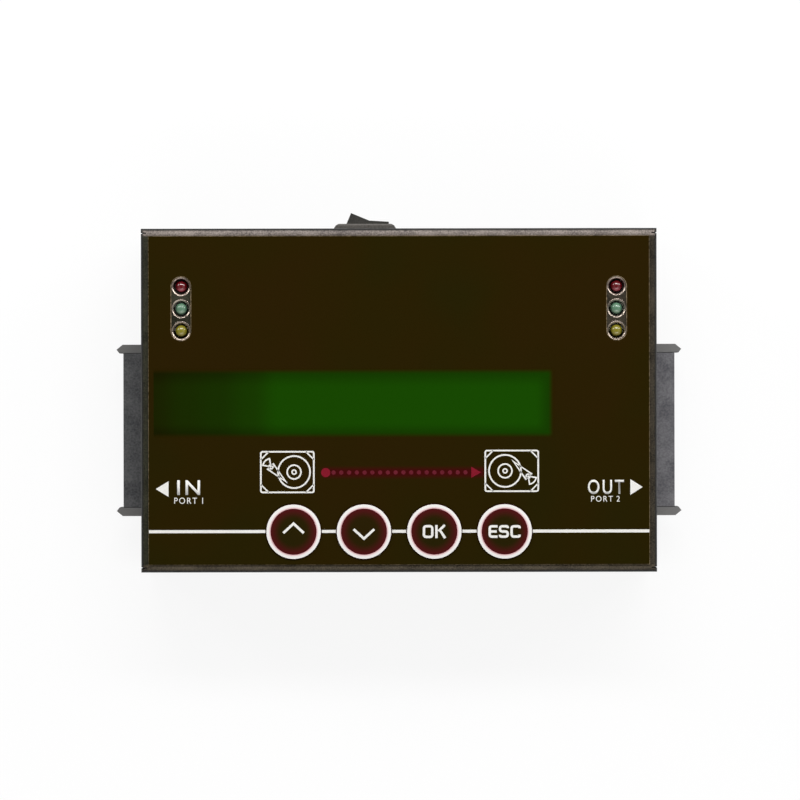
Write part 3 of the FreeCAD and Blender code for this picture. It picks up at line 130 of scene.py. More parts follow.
def mixColours(tree, factor, first, second, blend="MIX"):
    node = tree.nodes.new("ShaderNodeMix")
    node.data_type, node.blend_type = "RGBA", blend
    for index, value in ((0, factor), (6, first), (7, second)):
        if isinstance(value, bpy.types.NodeSocket):
            tree.links.new(value, node.inputs[index])
        else:
            node.inputs[index].default_value = value
    return node.outputs[2]


def splitCoords(tree, coords):
    return addNode(tree, "ShaderNodeSeparateXYZ", {"Vector": coords}).outputs


def flatReach(tree, x, y):  # how far a point lies from the upright line where x and y are zero
    flat = addNode(tree, "ShaderNodeCombineXYZ", {"X": x, "Y": y}).outputs["Vector"]
    return addNode(tree, "ShaderNodeVectorMath", {0: flat}, operation="LENGTH").outputs["Value"]


def mixValues(tree, first, second, share):  # share of the first value and the rest of the second
    kept = mathNode(tree, "MULTIPLY", first, share)
    return mathNode(tree, "ADD", kept, mathNode(tree, "MULTIPLY", second, round(1 - share, 3)))


def addBump(tree, shader, height, strength, distance):
    spec = {"Height": height, "Strength": strength, "Distance": distance}
    tree.links.new(addNode(tree, "ShaderNodeBump", spec).outputs["Normal"], shader.inputs["Normal"])


def grainMaterial(name, dark, light, grain, rough, bump=0.3, specular=0.5, metallic=0.0, coat=0.0,
                  spread=0.18, stretch=(1, 1, 1)):
    # a surface with a fine grain in its colour, roughness and height
    material, tree, shader = newMaterial(name, rough, specular, metallic, coat)
    coords = objectCoords(tree)
    if stretch != (1, 1, 1):
        coords = addNode(tree, "ShaderNodeMapping", {"Vector": coords, "Scale": stretch}).outputs["Vector"]
    fine = noise(tree, coords, grain)
    broad = noise(tree, coords, grain / 14, 2.0)
    both = mixValues(tree, fine, broad, 0.7)
    colour = ramp(tree, both, [(0.5 - spread, shade(*dark)), (0.5 + spread, shade(*light))])
    tree.links.new(colour, shader.inputs["Base Color"])
    tree.links.new(remap(tree, broad, 0.3, 0.7, rough - 0.06, rough + 0.08), shader.inputs["Roughness"])
    addBump(tree, shader, fine, bump, 0.6 / grain)
    return material


# finishes that many pieces share
grainFinishes = {
    "powderCoat": dict(dark=(15, 15, 14), light=(36, 35, 32), grain=2600, rough=0.46, bump=0.3,
                       specular=0.25),
    "switchPlastic": dict(dark=(46, 45, 42), light=(70, 68, 64), grain=2400, rough=0.36, bump=0.12,
                          specular=0.4),
    # painted light: a lighter copy of the paddle's black plastic, standing in for the light caught by the
    # frame's top
    "switchHousingPaintedLit": dict(dark=(78, 75, 71), light=(112, 108, 103), grain=2400, rough=0.38, bump=0.12,
                          specular=0.4),
    "rolledEdge": dict(dark=(120, 108, 98), light=(216, 200, 186), grain=2600, rough=0.24, bump=0.25,
                       metallic=1.0),
    # painted highlight: the pale colour of the lines along the overlay's cut edges
    "cutEdgeHighlight": dict(dark=(70, 60, 42), light=(156, 136, 106), grain=1700, rough=0.4, bump=0.1,
                    specular=0.3, spread=0.12),
    "rubber": dict(dark=(26, 26, 27), light=(42, 42, 43), grain=1500, rough=0.78, bump=0.35, specular=0.25),
    "blackPlastic": dict(dark=(28, 28, 29), light=(40, 40, 42), grain=1700, rough=0.46, bump=0.15,
                         specular=0.4),
    "whitePlastic": dict(dark=(214, 212, 204), light=(232, 230, 224), grain=1200, rough=0.42, bump=0.08),
    "clearSleeve": dict(dark=(196, 192, 178), light=(218, 214, 202), grain=900, rough=0.35, bump=0.08),
    "tinPlate": dict(dark=(176, 177, 180), light=(212, 213, 216), grain=1800, rough=0.3, bump=0.1,
                     metallic=1.0),
    "goldPlate": dict(dark=(206, 164, 84), light=(236, 200, 122), grain=1500, rough=0.26, bump=0.08,
                      metallic=1.0),
    "brassBar": dict(dark=(176, 142, 74), light=(206, 172, 98), grain=1100, rough=0.34, bump=0.12,
                     metallic=1.0, stretch=(1, 1, 6)),
    "blackScrew": dict(dark=(40, 40, 42), light=(66, 66, 70), grain=2100, rough=0.34, bump=0.12,
                       metallic=0.6),
    "blackTin": dict(dark=(30, 30, 31), light=(46, 46, 48), grain=2200, rough=0.4, bump=0.15),
    "chipResin": dict(dark=(34, 34, 37), light=(50, 50, 54), grain=3200, rough=0.62, bump=0.3,
                      specular=0.3),
    "blackAnodised": dict(dark=(30, 31, 34), light=(48, 49, 53), grain=1500, rough=0.44, bump=0.2,
                          metallic=0.5, stretch=(0.3, 6, 1)),
    "ferrite": dict(dark=(66, 66, 68), light=(92, 92, 94), grain=2600, rough=0.7, bump=0.35, specular=0.25),
    "canMetal": dict(dark=(176, 178, 182), light=(206, 208, 212), grain=1300, rough=0.34, bump=0.08,
                     metallic=0.9, stretch=(1, 1, 0.2)),
    "redSleeve": dict(dark=(138, 18, 16), light=(168, 30, 26), grain=900, rough=0.48, bump=0.12),
    "litPanel": dict(dark=(206, 214, 196), light=(224, 230, 214), grain=700, rough=0.5, bump=0.05),
    "whiteInk": dict(dark=(238, 236, 230), light=(252, 251, 247), grain=2400, rough=0.5, bump=0.05,
                     specular=0.2),
}
finishes = {name: grainMaterial(name, **spec) for name, spec in grainFinishes.items()}


# the printed panel: a brown-black film, with a red glow printed round the dotted arrow
panelFilm = {
    "base": (41, 31, 3), "warm": (43, 30, 4), "cool": (38, 32, 4), "patch": 26,
    "rough": 0.34, "specular": 0.03,
    "glow": (66, 12, 12), "glowSpan": (-17.9, 20.0), "glowHalf": 1.9, "glowEnd": 1.6, "arrowY": -17.6,
}
arrowY = panelMid.y + panelFilm["arrowY"] * mm  # the dotted arrow's centre line


def filmColour(tree, coords):
    blotch = noise(tree, coords, panelFilm["patch"], 2.0)
    places = {"warm": 0.35, "base": 0.5, "cool": 0.66}
    return ramp(tree, blotch, [(place, shade(*panelFilm[name])) for name, place in places.items()])


def panelMaterial():
    material, tree, shader = newMaterial("panelFilm", panelFilm["rough"], panelFilm["specular"])
    coords = objectCoords(tree)
    colour = filmColour(tree, coords)
    parts = splitCoords(tree, coords)
    away = mathNode(tree, "ABSOLUTE", mathNode(tree, "SUBTRACT", parts["Y"], arrowY))
    band = remap(tree, away, 0.3 * mm, panelFilm["glowHalf"] * mm, 1.0, 0.0)
    left, right = (v * mm for v in panelFilm["glowSpan"])
    fade = panelFilm["glowEnd"] * mm
    start = remap(tree, parts["X"], left - fade, left)
    stop = remap(tree, parts["X"], right, right + fade, 1.0, 0.0)
    glow = mathNode(tree, "MULTIPLY", mathNode(tree, "MULTIPLY", start, stop), band)
    colour = mixColours(tree, glow, colour, shade(*panelFilm["glow"]))
    tree.links.new(colour, shader.inputs["Base Color"])
    addBump(tree, shader, noise(tree, coords, 1400), 0.08, 0.4 * mm)
    return material


finishes["panelFilm"] = panelMaterial()

# the folded cover: black powder coat, with painted light on the top beside the printed panel: a painted
# highlight behind it, weaker painted light in front and less at the sides, with where each band starts from
# the panel's edge
coverTonesAndPaintedLight = {
    "coat": ((13, 13, 12), (33, 32, 29)), "rough": 0.48, "specular": 0.22, "grain": 2600,
    "back": ((88, 80, 76), (172, 160, 152)), "front": ((58, 51, 40), (102, 92, 76)),
    "left": ((26, 26, 15), (64, 63, 48)), "right": ((30, 27, 18), (76, 68, 55)),
    "topStart": (-0.5, -0.08), "sideStart": (-1.0, 1.0),
    "frontStart": (-0.35, 0.1), "backStart": (-0.1, 0.45),
}


def coverMaterial():
    spec = coverTonesAndPaintedLight
    material, tree, shader = newMaterial("powderCoat", spec["rough"], spec["specular"])
    coords = objectCoords(tree)
    parts = splitCoords(tree, coords)
    fine, broad = noise(tree, coords, spec["grain"]), noise(tree, coords, spec["grain"] / 14, 2.0)
    both = mixValues(tree, fine, broad, 0.6)

    def coat(pair):
        return ramp(tree, both, [(0.36, shade(*pair[0])), (0.64, shade(*pair[1]))])

    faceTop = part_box("top_cover")[1].z

    def past(axis, origin, name, start=0.0, end=1.0):
        low, high = (origin + v * mm for v in spec[name])
        return remap(tree, parts[axis], low, high, start, end)

    flat = past("Z", faceTop, "topStart")
    # painted light: these tones stand in for the light on the bends, strongest at the back, weaker in front,
    # least at the sides
    bendSheen = mixColours(tree, past("X", 0.0, "sideStart"), coat(spec["left"]), coat(spec["right"]))
    bendSheen = mixColours(tree, past("Y", panelLow.y, "frontStart", 1.0, 0.0), bendSheen, coat(spec["front"]))
    bendSheen = mixColours(tree, past("Y", panelHigh.y, "backStart"), bendSheen, coat(spec["back"]))
    colour = mixColours(tree, flat, coat(spec["coat"]), bendSheen)
    tree.links.new(colour, shader.inputs["Base Color"])
    worn = remap(tree, broad, 0.3, 0.7, spec["rough"] - 0.06, spec["rough"] + 0.08)
    tree.links.new(worn, shader.inputs["Roughness"])
    addBump(tree, shader, fine, 0.3, 0.6 / spec["grain"])
    return material


finishes["shellCoatPaintedSheen"] = coverMaterial()

# the display window: a smoked green filter with painted glow standing in for the lit backlight behind it,
# fading towards its left end
windowTintAndGlow = {
    "stops": [(-60.0, (27, 32, 2)), (-52.0, (26, 42, 2)), (-44.0, (25, 47, 2)), (-36.0, (25, 57, 2)),
              (-29.0, (25, 72, 2)), (38.0, (25, 76, 3))],
    # the mask's edges, from the window's middle line, and where the painted glow darkens towards them
    "top": 7.75, "bottom": -7.8, "right": 37.0, "soft": 0.75,
    "dim": (0.85, 0.64, 0.8, 1), "dimTop": 3.5, "dimBottom": -4.5, "dimRight": 33.0,
    "weave": (18, 58, 2), "weaveShare": 0.1, "rough": 0.16, "specular": 0.03,
}


def windowMaterial():
    material, tree, shader = newMaterial("smokedWindowGlow", windowTintAndGlow["rough"], windowTintAndGlow["specular"])
    coords = objectCoords(tree)
    parts = splitCoords(tree, coords)
    midY = (windowLow.y + windowHigh.y) / 2
    along = remap(tree, parts["X"], windowLow.x, windowHigh.x, smooth=False)
    span = (windowHigh.x - windowLow.x) / mm
    stops = [((x - windowLow.x / mm) / span, shade(*c)) for x, c in windowTintAndGlow["stops"]]
    stops = [(min(1.0, max(0.0, place)), colour) for place, colour in stops]
    # painted glow: this green stands in for the lit backlight seen through the filter
    green = ramp(tree, along, stops, "EASE")
    weave = noise(tree, coords, 900, 2.0)
    spec, soft = windowTintAndGlow, windowTintAndGlow["soft"]
    weave = mathNode(tree, "MULTIPLY", weave, spec["weaveShare"])
    green = mixColours(tree, weave, green, shade(*spec["weave"]))
    up = mathNode(tree, "SUBTRACT", parts["Y"], midY)

    def fading(value, start, stop, previous=None):
        part = remap(tree, value, start * mm, stop * mm, 1.0, 0.0)
        return part if previous is None else mathNode(tree, "MULTIPLY", previous, part)

    down = mathNode(tree, "MULTIPLY", up, -1.0)
    lit = fading(up, spec["dimTop"], spec["top"])
    lit = fading(down, -spec["dimBottom"], -spec["bottom"], lit)
    lit = fading(parts["X"], spec["dimRight"], spec["right"], lit)
    # painted shade: the glow darkens towards the mask's edges
    dim = mixColours(tree, 1.0, green, spec["dim"], "MULTIPLY")
    green = mixColours(tree, lit, dim, green)
    inside = fading(up, spec["top"] - soft, spec["top"] + soft)
    inside = fading(down, -spec["bottom"] - soft, -spec["bottom"] + soft, inside)
    inside = fading(parts["X"], spec["right"] - soft, spec["right"] + soft, inside)
    colour = mixColours(tree, inside, filmColour(tree, coords), green)
    tree.links.new(colour, shader.inputs["Base Color"])
    addBump(tree, shader, noise(tree, coords, 700), 0.04, 0.3 * mm)
    return material


finishes["smokedWindowGlow"] = windowMaterial()

# circuit boards and the display glass
boardFinish = {
    "mask": (22, 92, 58), "lift": (34, 116, 74), "cloud": (14, 74, 46), "track": 620, "rough": 0.34,
}


def boardMaterial():
    material, tree, shader = newMaterial("circuitBoard", boardFinish["rough"], 0.5)
    coords = objectCoords(tree)
    spec = {"Vector": coords, "Scale": boardFinish["track"], "Mortar Size": 0.06, "Brick Width": 2.2,
            "Color1": shade(*boardFinish["mask"]), "Color2": shade(*boardFinish["mask"]),
            "Mortar": shade(*boardFinish["lift"])}
    tracks = addNode(tree, "ShaderNodeTexBrick", spec)
    cloud = mathNode(tree, "MULTIPLY", noise(tree, coords, 120), 0.4)
    colour = mixColours(tree, cloud, tracks.outputs["Color"], shade(*boardFinish["cloud"]))
    tree.links.new(colour, shader.inputs["Base Color"])
    addBump(tree, shader, tracks.outputs["Fac"], 0.25, 0.05 * mm)
    return material


glassFinish = {"dark": (60, 104, 34), "light": (78, 124, 44), "cell": 300}


def glassMaterial():
    material, tree, shader = newMaterial("displayGlass", 0.08, 0.5, coat=0.6)
    coords = objectCoords(tree)
    spec = {"Vector": coords, "Scale": glassFinish["cell"], "Color1": shade(*glassFinish["dark"]),
            "Color2": shade(*glassFinish["light"])}
    cells = addNode(tree, "ShaderNodeTexChecker", spec)
    colour = mixColours(tree, 0.7, cells.outputs["Color"], shade(*glassFinish["light"]))
    tree.links.new(colour, shader.inputs["Base Color"])
    return material


# the ports: grey mouldings whose horns are lighter than the body, with a fine groove between that has a
# painted shadow in it;
# the target port's body is painted light, a lighter copy of the source port's
portTonesAndPaintedLight = {
    # painted light: the target body is lighter than the source body, standing in for more light on that side
    "source": {"body": ((68, 69, 71), (108, 108, 109)), "horn": (130, 129, 127)},
    "target": {"body": ((90, 89, 94), (132, 131, 134)), "horn": (134, 133, 131)},
    "hornWide": 2.15, "groove": 0.16, "paintedGrooveShadow": (46, 45, 46),
}


def portMaterial(name):
    material, tree, shader = newMaterial(name + "Moulding", 0.5, 0.35)
    low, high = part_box(name + "_port")
    spec = portTonesAndPaintedLight[name]
    middle, core = (low.y + high.y) / 2, (high.y - low.y) / 2 - portTonesAndPaintedLight["hornWide"] * mm
    coords = objectCoords(tree)
    specks = noise(tree, coords, 2200)
    both = mixValues(tree, specks, noise(tree, coords, 210), 0.55)
    body = ramp(tree, both, [(0.36, shade(*spec["body"][0])), (0.64, shade(*spec["body"][1]))])
    hornGrain = mathNode(tree, "MULTIPLY", both, 0.3)
    horn = mixColours(tree, hornGrain, shade(*spec["horn"]), shade(*spec["body"][0]))
    away = mathNode(tree, "ABSOLUTE", mathNode(tree, "SUBTRACT", splitCoords(tree, coords)["Y"], middle))
    colour = mixColours(tree, remap(tree, away, core - 0.1 * mm, core + 0.1 * mm), body, horn)
    beside = mathNode(tree, "ABSOLUTE", mathNode(tree, "SUBTRACT", away, core))
    # painted shadow: a dark line along the groove, which the bump also sinks
    groove = remap(tree, beside, 0.04 * mm, portTonesAndPaintedLight["groove"] * mm, 1.0, 0.0)
    colour = mixColours(tree, groove, colour, shade(*portTonesAndPaintedLight["paintedGrooveShadow"]))
    tree.links.new(colour, shader.inputs["Base Color"])
    height = mathNode(tree, "SUBTRACT", mathNode(tree, "MULTIPLY", both, 0.2), groove)
    addBump(tree, shader, height, 0.4, 0.15 * mm)
    return material


for name in ("source", "target"):
    finishes[name + "Moulding"] = portMaterial(name)
finishes["circuitBoard"] = boardMaterial()
finishes["displayGlass"] = glassMaterial()

# which finish each kept node gets
nodeFinishes = {
    "shellCoatPaintedSheen": ["top_cover"],
    "powderCoat": ["base_plate"],
    "panelFilm": ["panel_overlay"],
    "smokedWindowGlow": ["display_window"],
    "blackPlastic": ["tact_switches", "lcd_header", "lcd_socket", "keypad_header", "keypad_socket",
                     "jack_body", "buzzer"],
    "clearSleeve": ["lamp_spacers"],
    "tinPlate": ["lamp_leads", "case_posts", "lcd_posts", "keypad_posts", "rocker_terminals",
                 "jack_pin", "jack_legs", "crystal"],
    "blackTin": ["lcd_bezel"],
    "displayGlass": ["lcd_glass"],
    "litPanel": ["lcd_backlight"],
    "circuitBoard": ["lcd_board", "main_board", "keypad_board"],
    "goldPlate": ["lcd_pins", "keypad_pins", "source_contacts", "target_contacts"],
    "brassBar": ["board_posts"],
    "blackScrew": ["case_screws"],
    "sourceMoulding": ["source_port"],
    "targetMoulding": ["target_port"],
    "switchPlastic": ["rocker_paddle"],
    "redSleeve": ["rocker_wires"],
    "chipResin": ["processor", "memory_chips"],
    "blackAnodised": ["heat_sink"],
    "ferrite": ["power_coils"],
    "canMetal": ["capacitors"],
    "whitePlastic": ["plunger_" + name for name in keyNames],
}
for finish, members in nodeFinishes.items():
    for member in members:
        slots = nodes[member].data.materials
        slots.clear()
        slots.append(finishes[finish])
print("finishes on", sum(len(members) for members in nodeFinishes.values()), "nodes")


# mesh helpers
def finishPiece(bm, name, material, body, smooth=False):
    bmesh.ops.remove_doubles(bm, verts=bm.verts, dist=0.5e-6)
    bmesh.ops.recalc_face_normals(bm, faces=bm.faces)
    mesh = bpy.data.meshes.new(name)
    bm.to_mesh(mesh)
    bm.free()
    if smooth:
        mesh.shade_smooth()
    piece = bpy.data.objects.new(name, mesh)
    bpy.context.scene.collection.objects.link(piece)
    mesh.materials.append(material)
    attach(piece, body)
    return piece


def mitred(points, width, closed):  # the two sides of a stroke at each of its points
    pairs = []
    count = len(points)
    for n, point in enumerate(points):
        before = points[n - 1] if n or closed else None
        after = points[(n + 1) % count] if n + 1 < count or closed else None
        spans = ((before, point), (point, after))
        ways = [(b - a).normalized() for a, b in spans if a is not None and b is not None]
        along = sum(ways, Vector((0, 0))).normalized()
        side = Vector((-along.y, along.x))
        half = width / 2 / max(0.25, side.dot(Vector((-ways[0].y, ways[0].x))))
        pairs.append((point + side * half, point - side * half))
    return pairs


def inkStroke(bm, points, width, closed=False):
    pairs = mitred([Vector(p) for p in points], width, closed)
    last = [bm.verts.new((side.x, side.y, 0)) for side in pairs[0]]
    edge = bm.edges.new(last)
    for pair in pairs[1:] + (pairs[:1] if closed else []):
        made = bmesh.ops.extrude_edge_only(bm, edges=[edge])["geom"]
        fresh = [v for v in made if isinstance(v, bmesh.types.BMVert)]
        fresh.sort(key=lambda v: (v.co - last[0].co).length)
        for vert, side in zip(fresh, pair):
            vert.co = (side.x, side.y, 0)
        last, edge = fresh, bm.edges.get(fresh)


def inkRing(bm, middle, radius, width, count=96):
    turns = [2 * math.pi * n / count for n in range(count)]
    path = [(middle[0] + radius * math.cos(a), middle[1] + radius * math.sin(a)) for a in turns]
    inkStroke(bm, path, width, True)


def inkDisc(bm, middle, radius, count=40):
    place = Matrix.Translation((middle[0], middle[1], 0))
    bmesh.ops.create_circle(bm, cap_ends=True, radius=radius, segments=count, matrix=place)


def inkTriangle(bm, tip, base, y, tall):  # points along X from its base to its tip
    radius = abs(tip - base) / 1.5
    squeeze = Matrix.Diagonal((1, tall / (radius * math.sqrt(3)), 1, 1))
    turn = Matrix.Rotation(math.pi / 2 * (-1 if tip > base else 1), 4, "Z")
    place = Matrix.Translation((base + (tip - base) / 3, y, 0)) @ squeeze @ turn
    bmesh.ops.create_circle(bm, cap_ends=True, radius=radius, segments=3, matrix=place)


def boxPath(low, high, grow):  # the corners of a box seen from above, made larger by grow on each side
    lowX, lowY, highX, highY = low.x - grow, low.y - grow, high.x + grow, high.y + grow
    return [(lowX, lowY), (highX, lowY), (highX, highY), (lowX, highY)]


def doubled(bm):  # a flat sheet joined to a second one, whose vertices are returned to be raised
    made = bmesh.ops.extrude_face_region(bm, geom=bm.faces[:], use_keep_orig=True)["geom"]
    return [v for v in made if isinstance(v, bmesh.types.BMVert)]


def inkPiece(bm, name, material, body, surface, thick=0.02 * mm):  # laid on a surface
    bmesh.ops.remove_doubles(bm, verts=bm.verts, dist=0.5e-6)
    top = doubled(bm)
    for vert in bm.verts:
        vert.co.z = surface(vert.co)
    bmesh.ops.translate(bm, verts=top, vec=(0, 0, thick))
    return finishPiece(bm, name, material, body)


def softened(points, radius, closed=False, steps=5):  # the same path with its corners rounded
    points = [Vector(p) for p in points]
    path = []
    for n, point in enumerate(points):
        if not closed and n in (0, len(points) - 1):
            path.append(point)
            continue
        before, after = points[n - 1], points[(n + 1) % len(points)]
        start = point + (before - point).normalized() * min(radius, (before - point).length / 2)
        end = point + (after - point).normalized() * min(radius, (after - point).length / 2)
        for k in range(steps + 1):
            t = k / steps
            path.append(start * (1 - t) ** 2 + point * 2 * t * (1 - t) + end * t * t)
    return path


def spun(bm, profile, middle, steps):  # (radius, height) pairs turned about the upright line through middle
    verts = [bm.verts.new((middle[0] + r, middle[1], z)) for r, z in profile]
    edges = [bm.edges.new(pair) for pair in zip(verts, verts[1:])]
    bmesh.ops.spin(bm, geom=verts + edges, cent=(middle[0], middle[1], 0), axis=(0, 0, 1), angle=2 * math.pi,
                   steps=steps, use_merge=True)


def sideSpots(node, radius):  # the middles of the two round solids at both ends of a node's box
    low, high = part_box(node)
    return [(side * (high.x - radius), (low.y + high.y) / 2) for side in (-1, 1)]


def onPanel(point):
    return panelTop


# round keys: a low dome with a printed ring and a legend
keyCap = {
    "radius": 6.7, "flange": 7.7, "flangeThick": 0.8, "rise": 0.25, "shoulder": 0.1,
    "ringInner": 5.62, "ringOuter": 6.62, "redStart": 3.0, "redEnd": 5.8,
    "red": (80, 19, 22), "pink": (232, 182, 186), "pinkWide": 0.5, "white": (252, 249, 246),
    "whiteGrain": (214, 206, 200),
}


def keyMaterials(name, middle):
    cap, tree, shader = newMaterial("keyCap_" + name, 0.3, 0.1, coat=0.03)
    coords = objectCoords(tree, (middle.x, middle.y, 0))
    parts = splitCoords(tree, coords)
    reach = flatReach(tree, parts["X"], parts["Y"])
    red = remap(tree, reach, keyCap["redStart"] * mm, keyCap["redEnd"] * mm)
    colour = mixColours(tree, red, filmColour(tree, objectCoords(tree)), shade(*keyCap["red"]))
    tree.links.new(colour, shader.inputs["Base Color"])
    addBump(tree, shader, noise(tree, coords, 1400), 0.06, 0.3 * mm)

    ring, tree, shader = newMaterial("keyRing_" + name, 0.45, 0.2)
    coords = objectCoords(tree, (middle.x, middle.y, 0))
    parts = splitCoords(tree, coords)
    reach = flatReach(tree, parts["X"], parts["Y"])
    inner = keyCap["ringInner"]
    pale = remap(tree, reach, inner * mm, (inner + keyCap["pinkWide"]) * mm)
    colour = mixColours(tree, pale, shade(*keyCap["pink"]), shade(*keyCap["white"]))
    grain = mathNode(tree, "MULTIPLY", noise(tree, coords, 2400), 0.06)
    colour = mixColours(tree, grain, colour, shade(*keyCap["whiteGrain"]))
    tree.links.new(colour, shader.inputs["Base Color"])
    return cap, ring


def keyLegend(bm, name, middle):
    stroke = legends["stroke"]
    half = stroke / 2
    for letter in legends[name]:
        kind, left, right, low, high = letter
        left, right, low, high = left + half, right - half, low + half, high - half
        mid, middleX = (low + high) / 2, (left + right) / 2
        paths = {
            "up": [([(left, low), (middleX, high), (right, low)], False)],
            "down": [([(left, high), (middleX, low), (right, high)], False)],
            "O": [([(left, low), (right, low), (right, high), (left, high)], True)],
            "K": [([(left, low - half), (left, high + half)], False),
                  ([(right + 0.05, high + half), (left + 0.5, mid + 0.1)], False),
                  ([(right + 0.12, low - half), (left + 0.85, mid + 0.35)], False)],
            "E": [([(right + half, high), (left, high), (left, low), (right + half, low)], False),
                  ([(left, mid), (right + half - 0.2, mid)], False)],
            "S": [([(right, high - 0.45), (right, high), (left, high), (left, mid),
                    (right, mid), (right, low), (left, low), (left, low + 0.45)], False)],
            "C": [([(right, high - 0.5), (right, high), (left, high), (left, low), (right, low),
                    (right, low + 0.5)], False)],
        }[kind]
        for path, closed in paths:
            if kind in ("O", "S", "C", "E"):
                path = softened(path, legends["corner"], closed)
            inkStroke(bm, [middle + Vector(p) * mm for p in path], stroke * mm, closed)


# each sign as its kind and its left, right, low and high side from the middle of the key, in mm
legends = {
    "stroke": 0.6, "corner": 0.62,
    "up": [("up", -2.8, 2.8, -0.6, 2.3)], "down": [("down", -2.8, 2.8, -2.0, 0.9)],
    "ok": [("O", -2.84, -0.21, -1.6, 1.6), ("K", 0.2, 2.8, -1.6, 1.6)],
    "esc": [("E", -3.97, -1.75, -1.56, 1.56), ("S", -1.46, 1.02, -1.56, 1.56),
            ("C", 1.36, 3.9, -1.56, 1.56)],
}

for name in keyNames:
    middle = keySpots[name]
    low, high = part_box("key_" + name)
    edgeZ = high.z - keyCap["rise"] * mm

    def onKey(point, middle=middle, high=high):
        reach = (Vector(point[:2]) - middle).length / (keyCap["radius"] * mm)
        return high.z - keyCap["rise"] * mm * reach * reach

    radius, shoulder = keyCap["radius"] * mm, keyCap["shoulder"] * mm
    flange, flangeTop = keyCap["flange"] * mm, low.z + keyCap["flangeThick"] * mm
    profile = [(0, low.z), (flange, low.z), (flange, flangeTop), (radius, flangeTop)]
    profile.append((radius, edgeZ - shoulder))
    for n in range(1, 5):
        turn = math.pi / 2 * n / 4
        profile.append((radius - shoulder * (1 - math.cos(turn)), edgeZ - shoulder * (1 - math.sin(turn))))
    for n in range(7, -1, -1):
        r = radius * 0.97 * n / 8
        profile.append((r, onKey((middle.x + r, middle.y))))
    capMaterial, ringMaterial = keyMaterials(name, middle)
    bm = bmesh.new()
    spun(bm, profile, middle, 72)
    cap = finishPiece(bm, "cap_" + name, capMaterial, "key_" + name, smooth=True)
    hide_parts("key_" + name)

    bm = bmesh.new()
    ringMid = (keyCap["ringInner"] + keyCap["ringOuter"]) / 2
    inkRing(bm, middle, ringMid * mm, (keyCap["ringOuter"] - keyCap["ringInner"]) * mm)
    inkPiece(bm, "ring_" + name, ringMaterial, "key_" + name, onKey, 0.03 * mm)
    bm = bmesh.new()
    keyLegend(bm, name, middle)
    bmesh.ops.subdivide_edges(bm, edges=bm.edges[:], cuts=2, use_grid_fill=True)
    inkPiece(bm, "legend_" + name, finishes["whiteInk"], "key_" + name, onKey)
print("keys done")

# indicator lamps: clear-cased domes in rolled holes, three on each side of the panel
lampSpec = {"radius": 1.5, "steps": 40, "glowStart": -0.25, "glowEnd": -0.95, "glowReach": (0.95, 1.4),
            "bodyStart": 0.2, "bodyEnd": 0.78}
lampShades = {  # rim, body and the light gathered on the near side, a painted glow, with the darker rim painted shade
    "red": ((76, 6, 14), (106, 12, 22), (190, 88, 100)),
    "green": ((52, 92, 74), (104, 144, 116), (158, 188, 158)),
    "yellow": ((104, 94, 22), (146, 138, 40), (190, 178, 96)),
}
lampRim = {"hole": 2.2, "steps": 48,
           "profile": [(-0.38, -0.2), (-0.2, -0.07), (0.0, 0.06), (0.1, 0.12), (0.17, 0.09), (0.2, 0.0),
                       (0.0, -0.02), (-0.32, -0.28), (-0.38, -0.2)]}


def lampMaterial(name, spots):
    rim, body, gathered = (shade(*c) for c in lampShades[name])
    material, tree, shader = newMaterial(name + "Lens", 0.12, 0.5, coat=1.0)
    coords = objectCoords(tree)
    parts = splitCoords(tree, coords)
    across = mathNode(tree, "SUBTRACT", mathNode(tree, "ABSOLUTE", parts["X"]), abs(spots[0][0]))
    along = mathNode(tree, "SUBTRACT", parts["Y"], spots[0][1])
    reach = flatReach(tree, across, along)
    # painted shade from the body colour out to the rim, then a painted glow on the near side
    inner = remap(tree, reach, lampSpec["bodyStart"] * mm, lampSpec["radius"] * mm, smooth=False)
    colour = ramp(tree, inner, [(0.0, body), (lampSpec["bodyEnd"], body), (1.0, rim)], "EASE")
    near = remap(tree, along, lampSpec["glowStart"] * mm, lampSpec["glowEnd"] * mm)
    full, none = (v * mm for v in lampSpec["glowReach"])
    near = mathNode(tree, "MULTIPLY", near, remap(tree, reach, full, none, 1.0, 0.0))
    colour = mixColours(tree, near, colour, gathered)
    haze = mathNode(tree, "MULTIPLY", noise(tree, coords, 1300), 0.25)
    tree.links.new(mixColours(tree, haze, colour, rim), shader.inputs["Base Color"])
    return material


rims = bmesh.new()
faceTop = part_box("top_cover")[1].z
rimProfile = [((lampRim["hole"] + r) * mm, faceTop + z * mm) for r, z in lampRim["profile"]]
for name in lampShades:
    low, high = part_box(name + "_lamps")
    radius = lampSpec["radius"] * mm
    spots = sideSpots(name + "_lamps", radius)
    profile = [(0, low.z), (radius, low.z), (radius, high.z - radius)]
    for n in range(1, 11):
        turn = math.pi / 2 * n / 10
        profile.append((radius * math.cos(turn), high.z - radius * (1 - math.sin(turn))))
    profile[-1] = (0, high.z)
    bm = bmesh.new()
    for spot in spots:
        spun(bm, profile, spot, lampSpec["steps"])
        spun(rims, rimProfile, spot, lampRim["steps"])
    lens = finishPiece(bm, name + "Lenses", lampMaterial(name, spots), "case", smooth=True)
    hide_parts(name + "_lamps")
finishPiece(rims, "lampRims", finishes["rolledEdge"], "case", smooth=True)
print("lamps done")

# rubber feet: low pads with a rounded tread
footShape = {"radius": 4.5, "steps": 48,
             "profile": [(0, 0), (3.8, 0), (4.15, 0.12), (4.35, 0.4), (4.5, 1.0), (4.5, 1.9),
                         (4.4, 2.0), (0, 2.0)]}
low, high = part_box("rubber_feet")
inset = footShape["radius"] * mm
bm = bmesh.new()
treadProfile = [(r * mm, low.z + z * mm) for r, z in footShape["profile"]]
for spot in [(x, y) for x in (low.x + inset, high.x - inset) for y in (low.y + inset, high.y - inset)]:
    spun(bm, treadProfile, spot, footShape["steps"])
feet = finishPiece(bm, "feet", finishes["rubber"], "case", smooth=True)
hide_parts("rubber_feet")

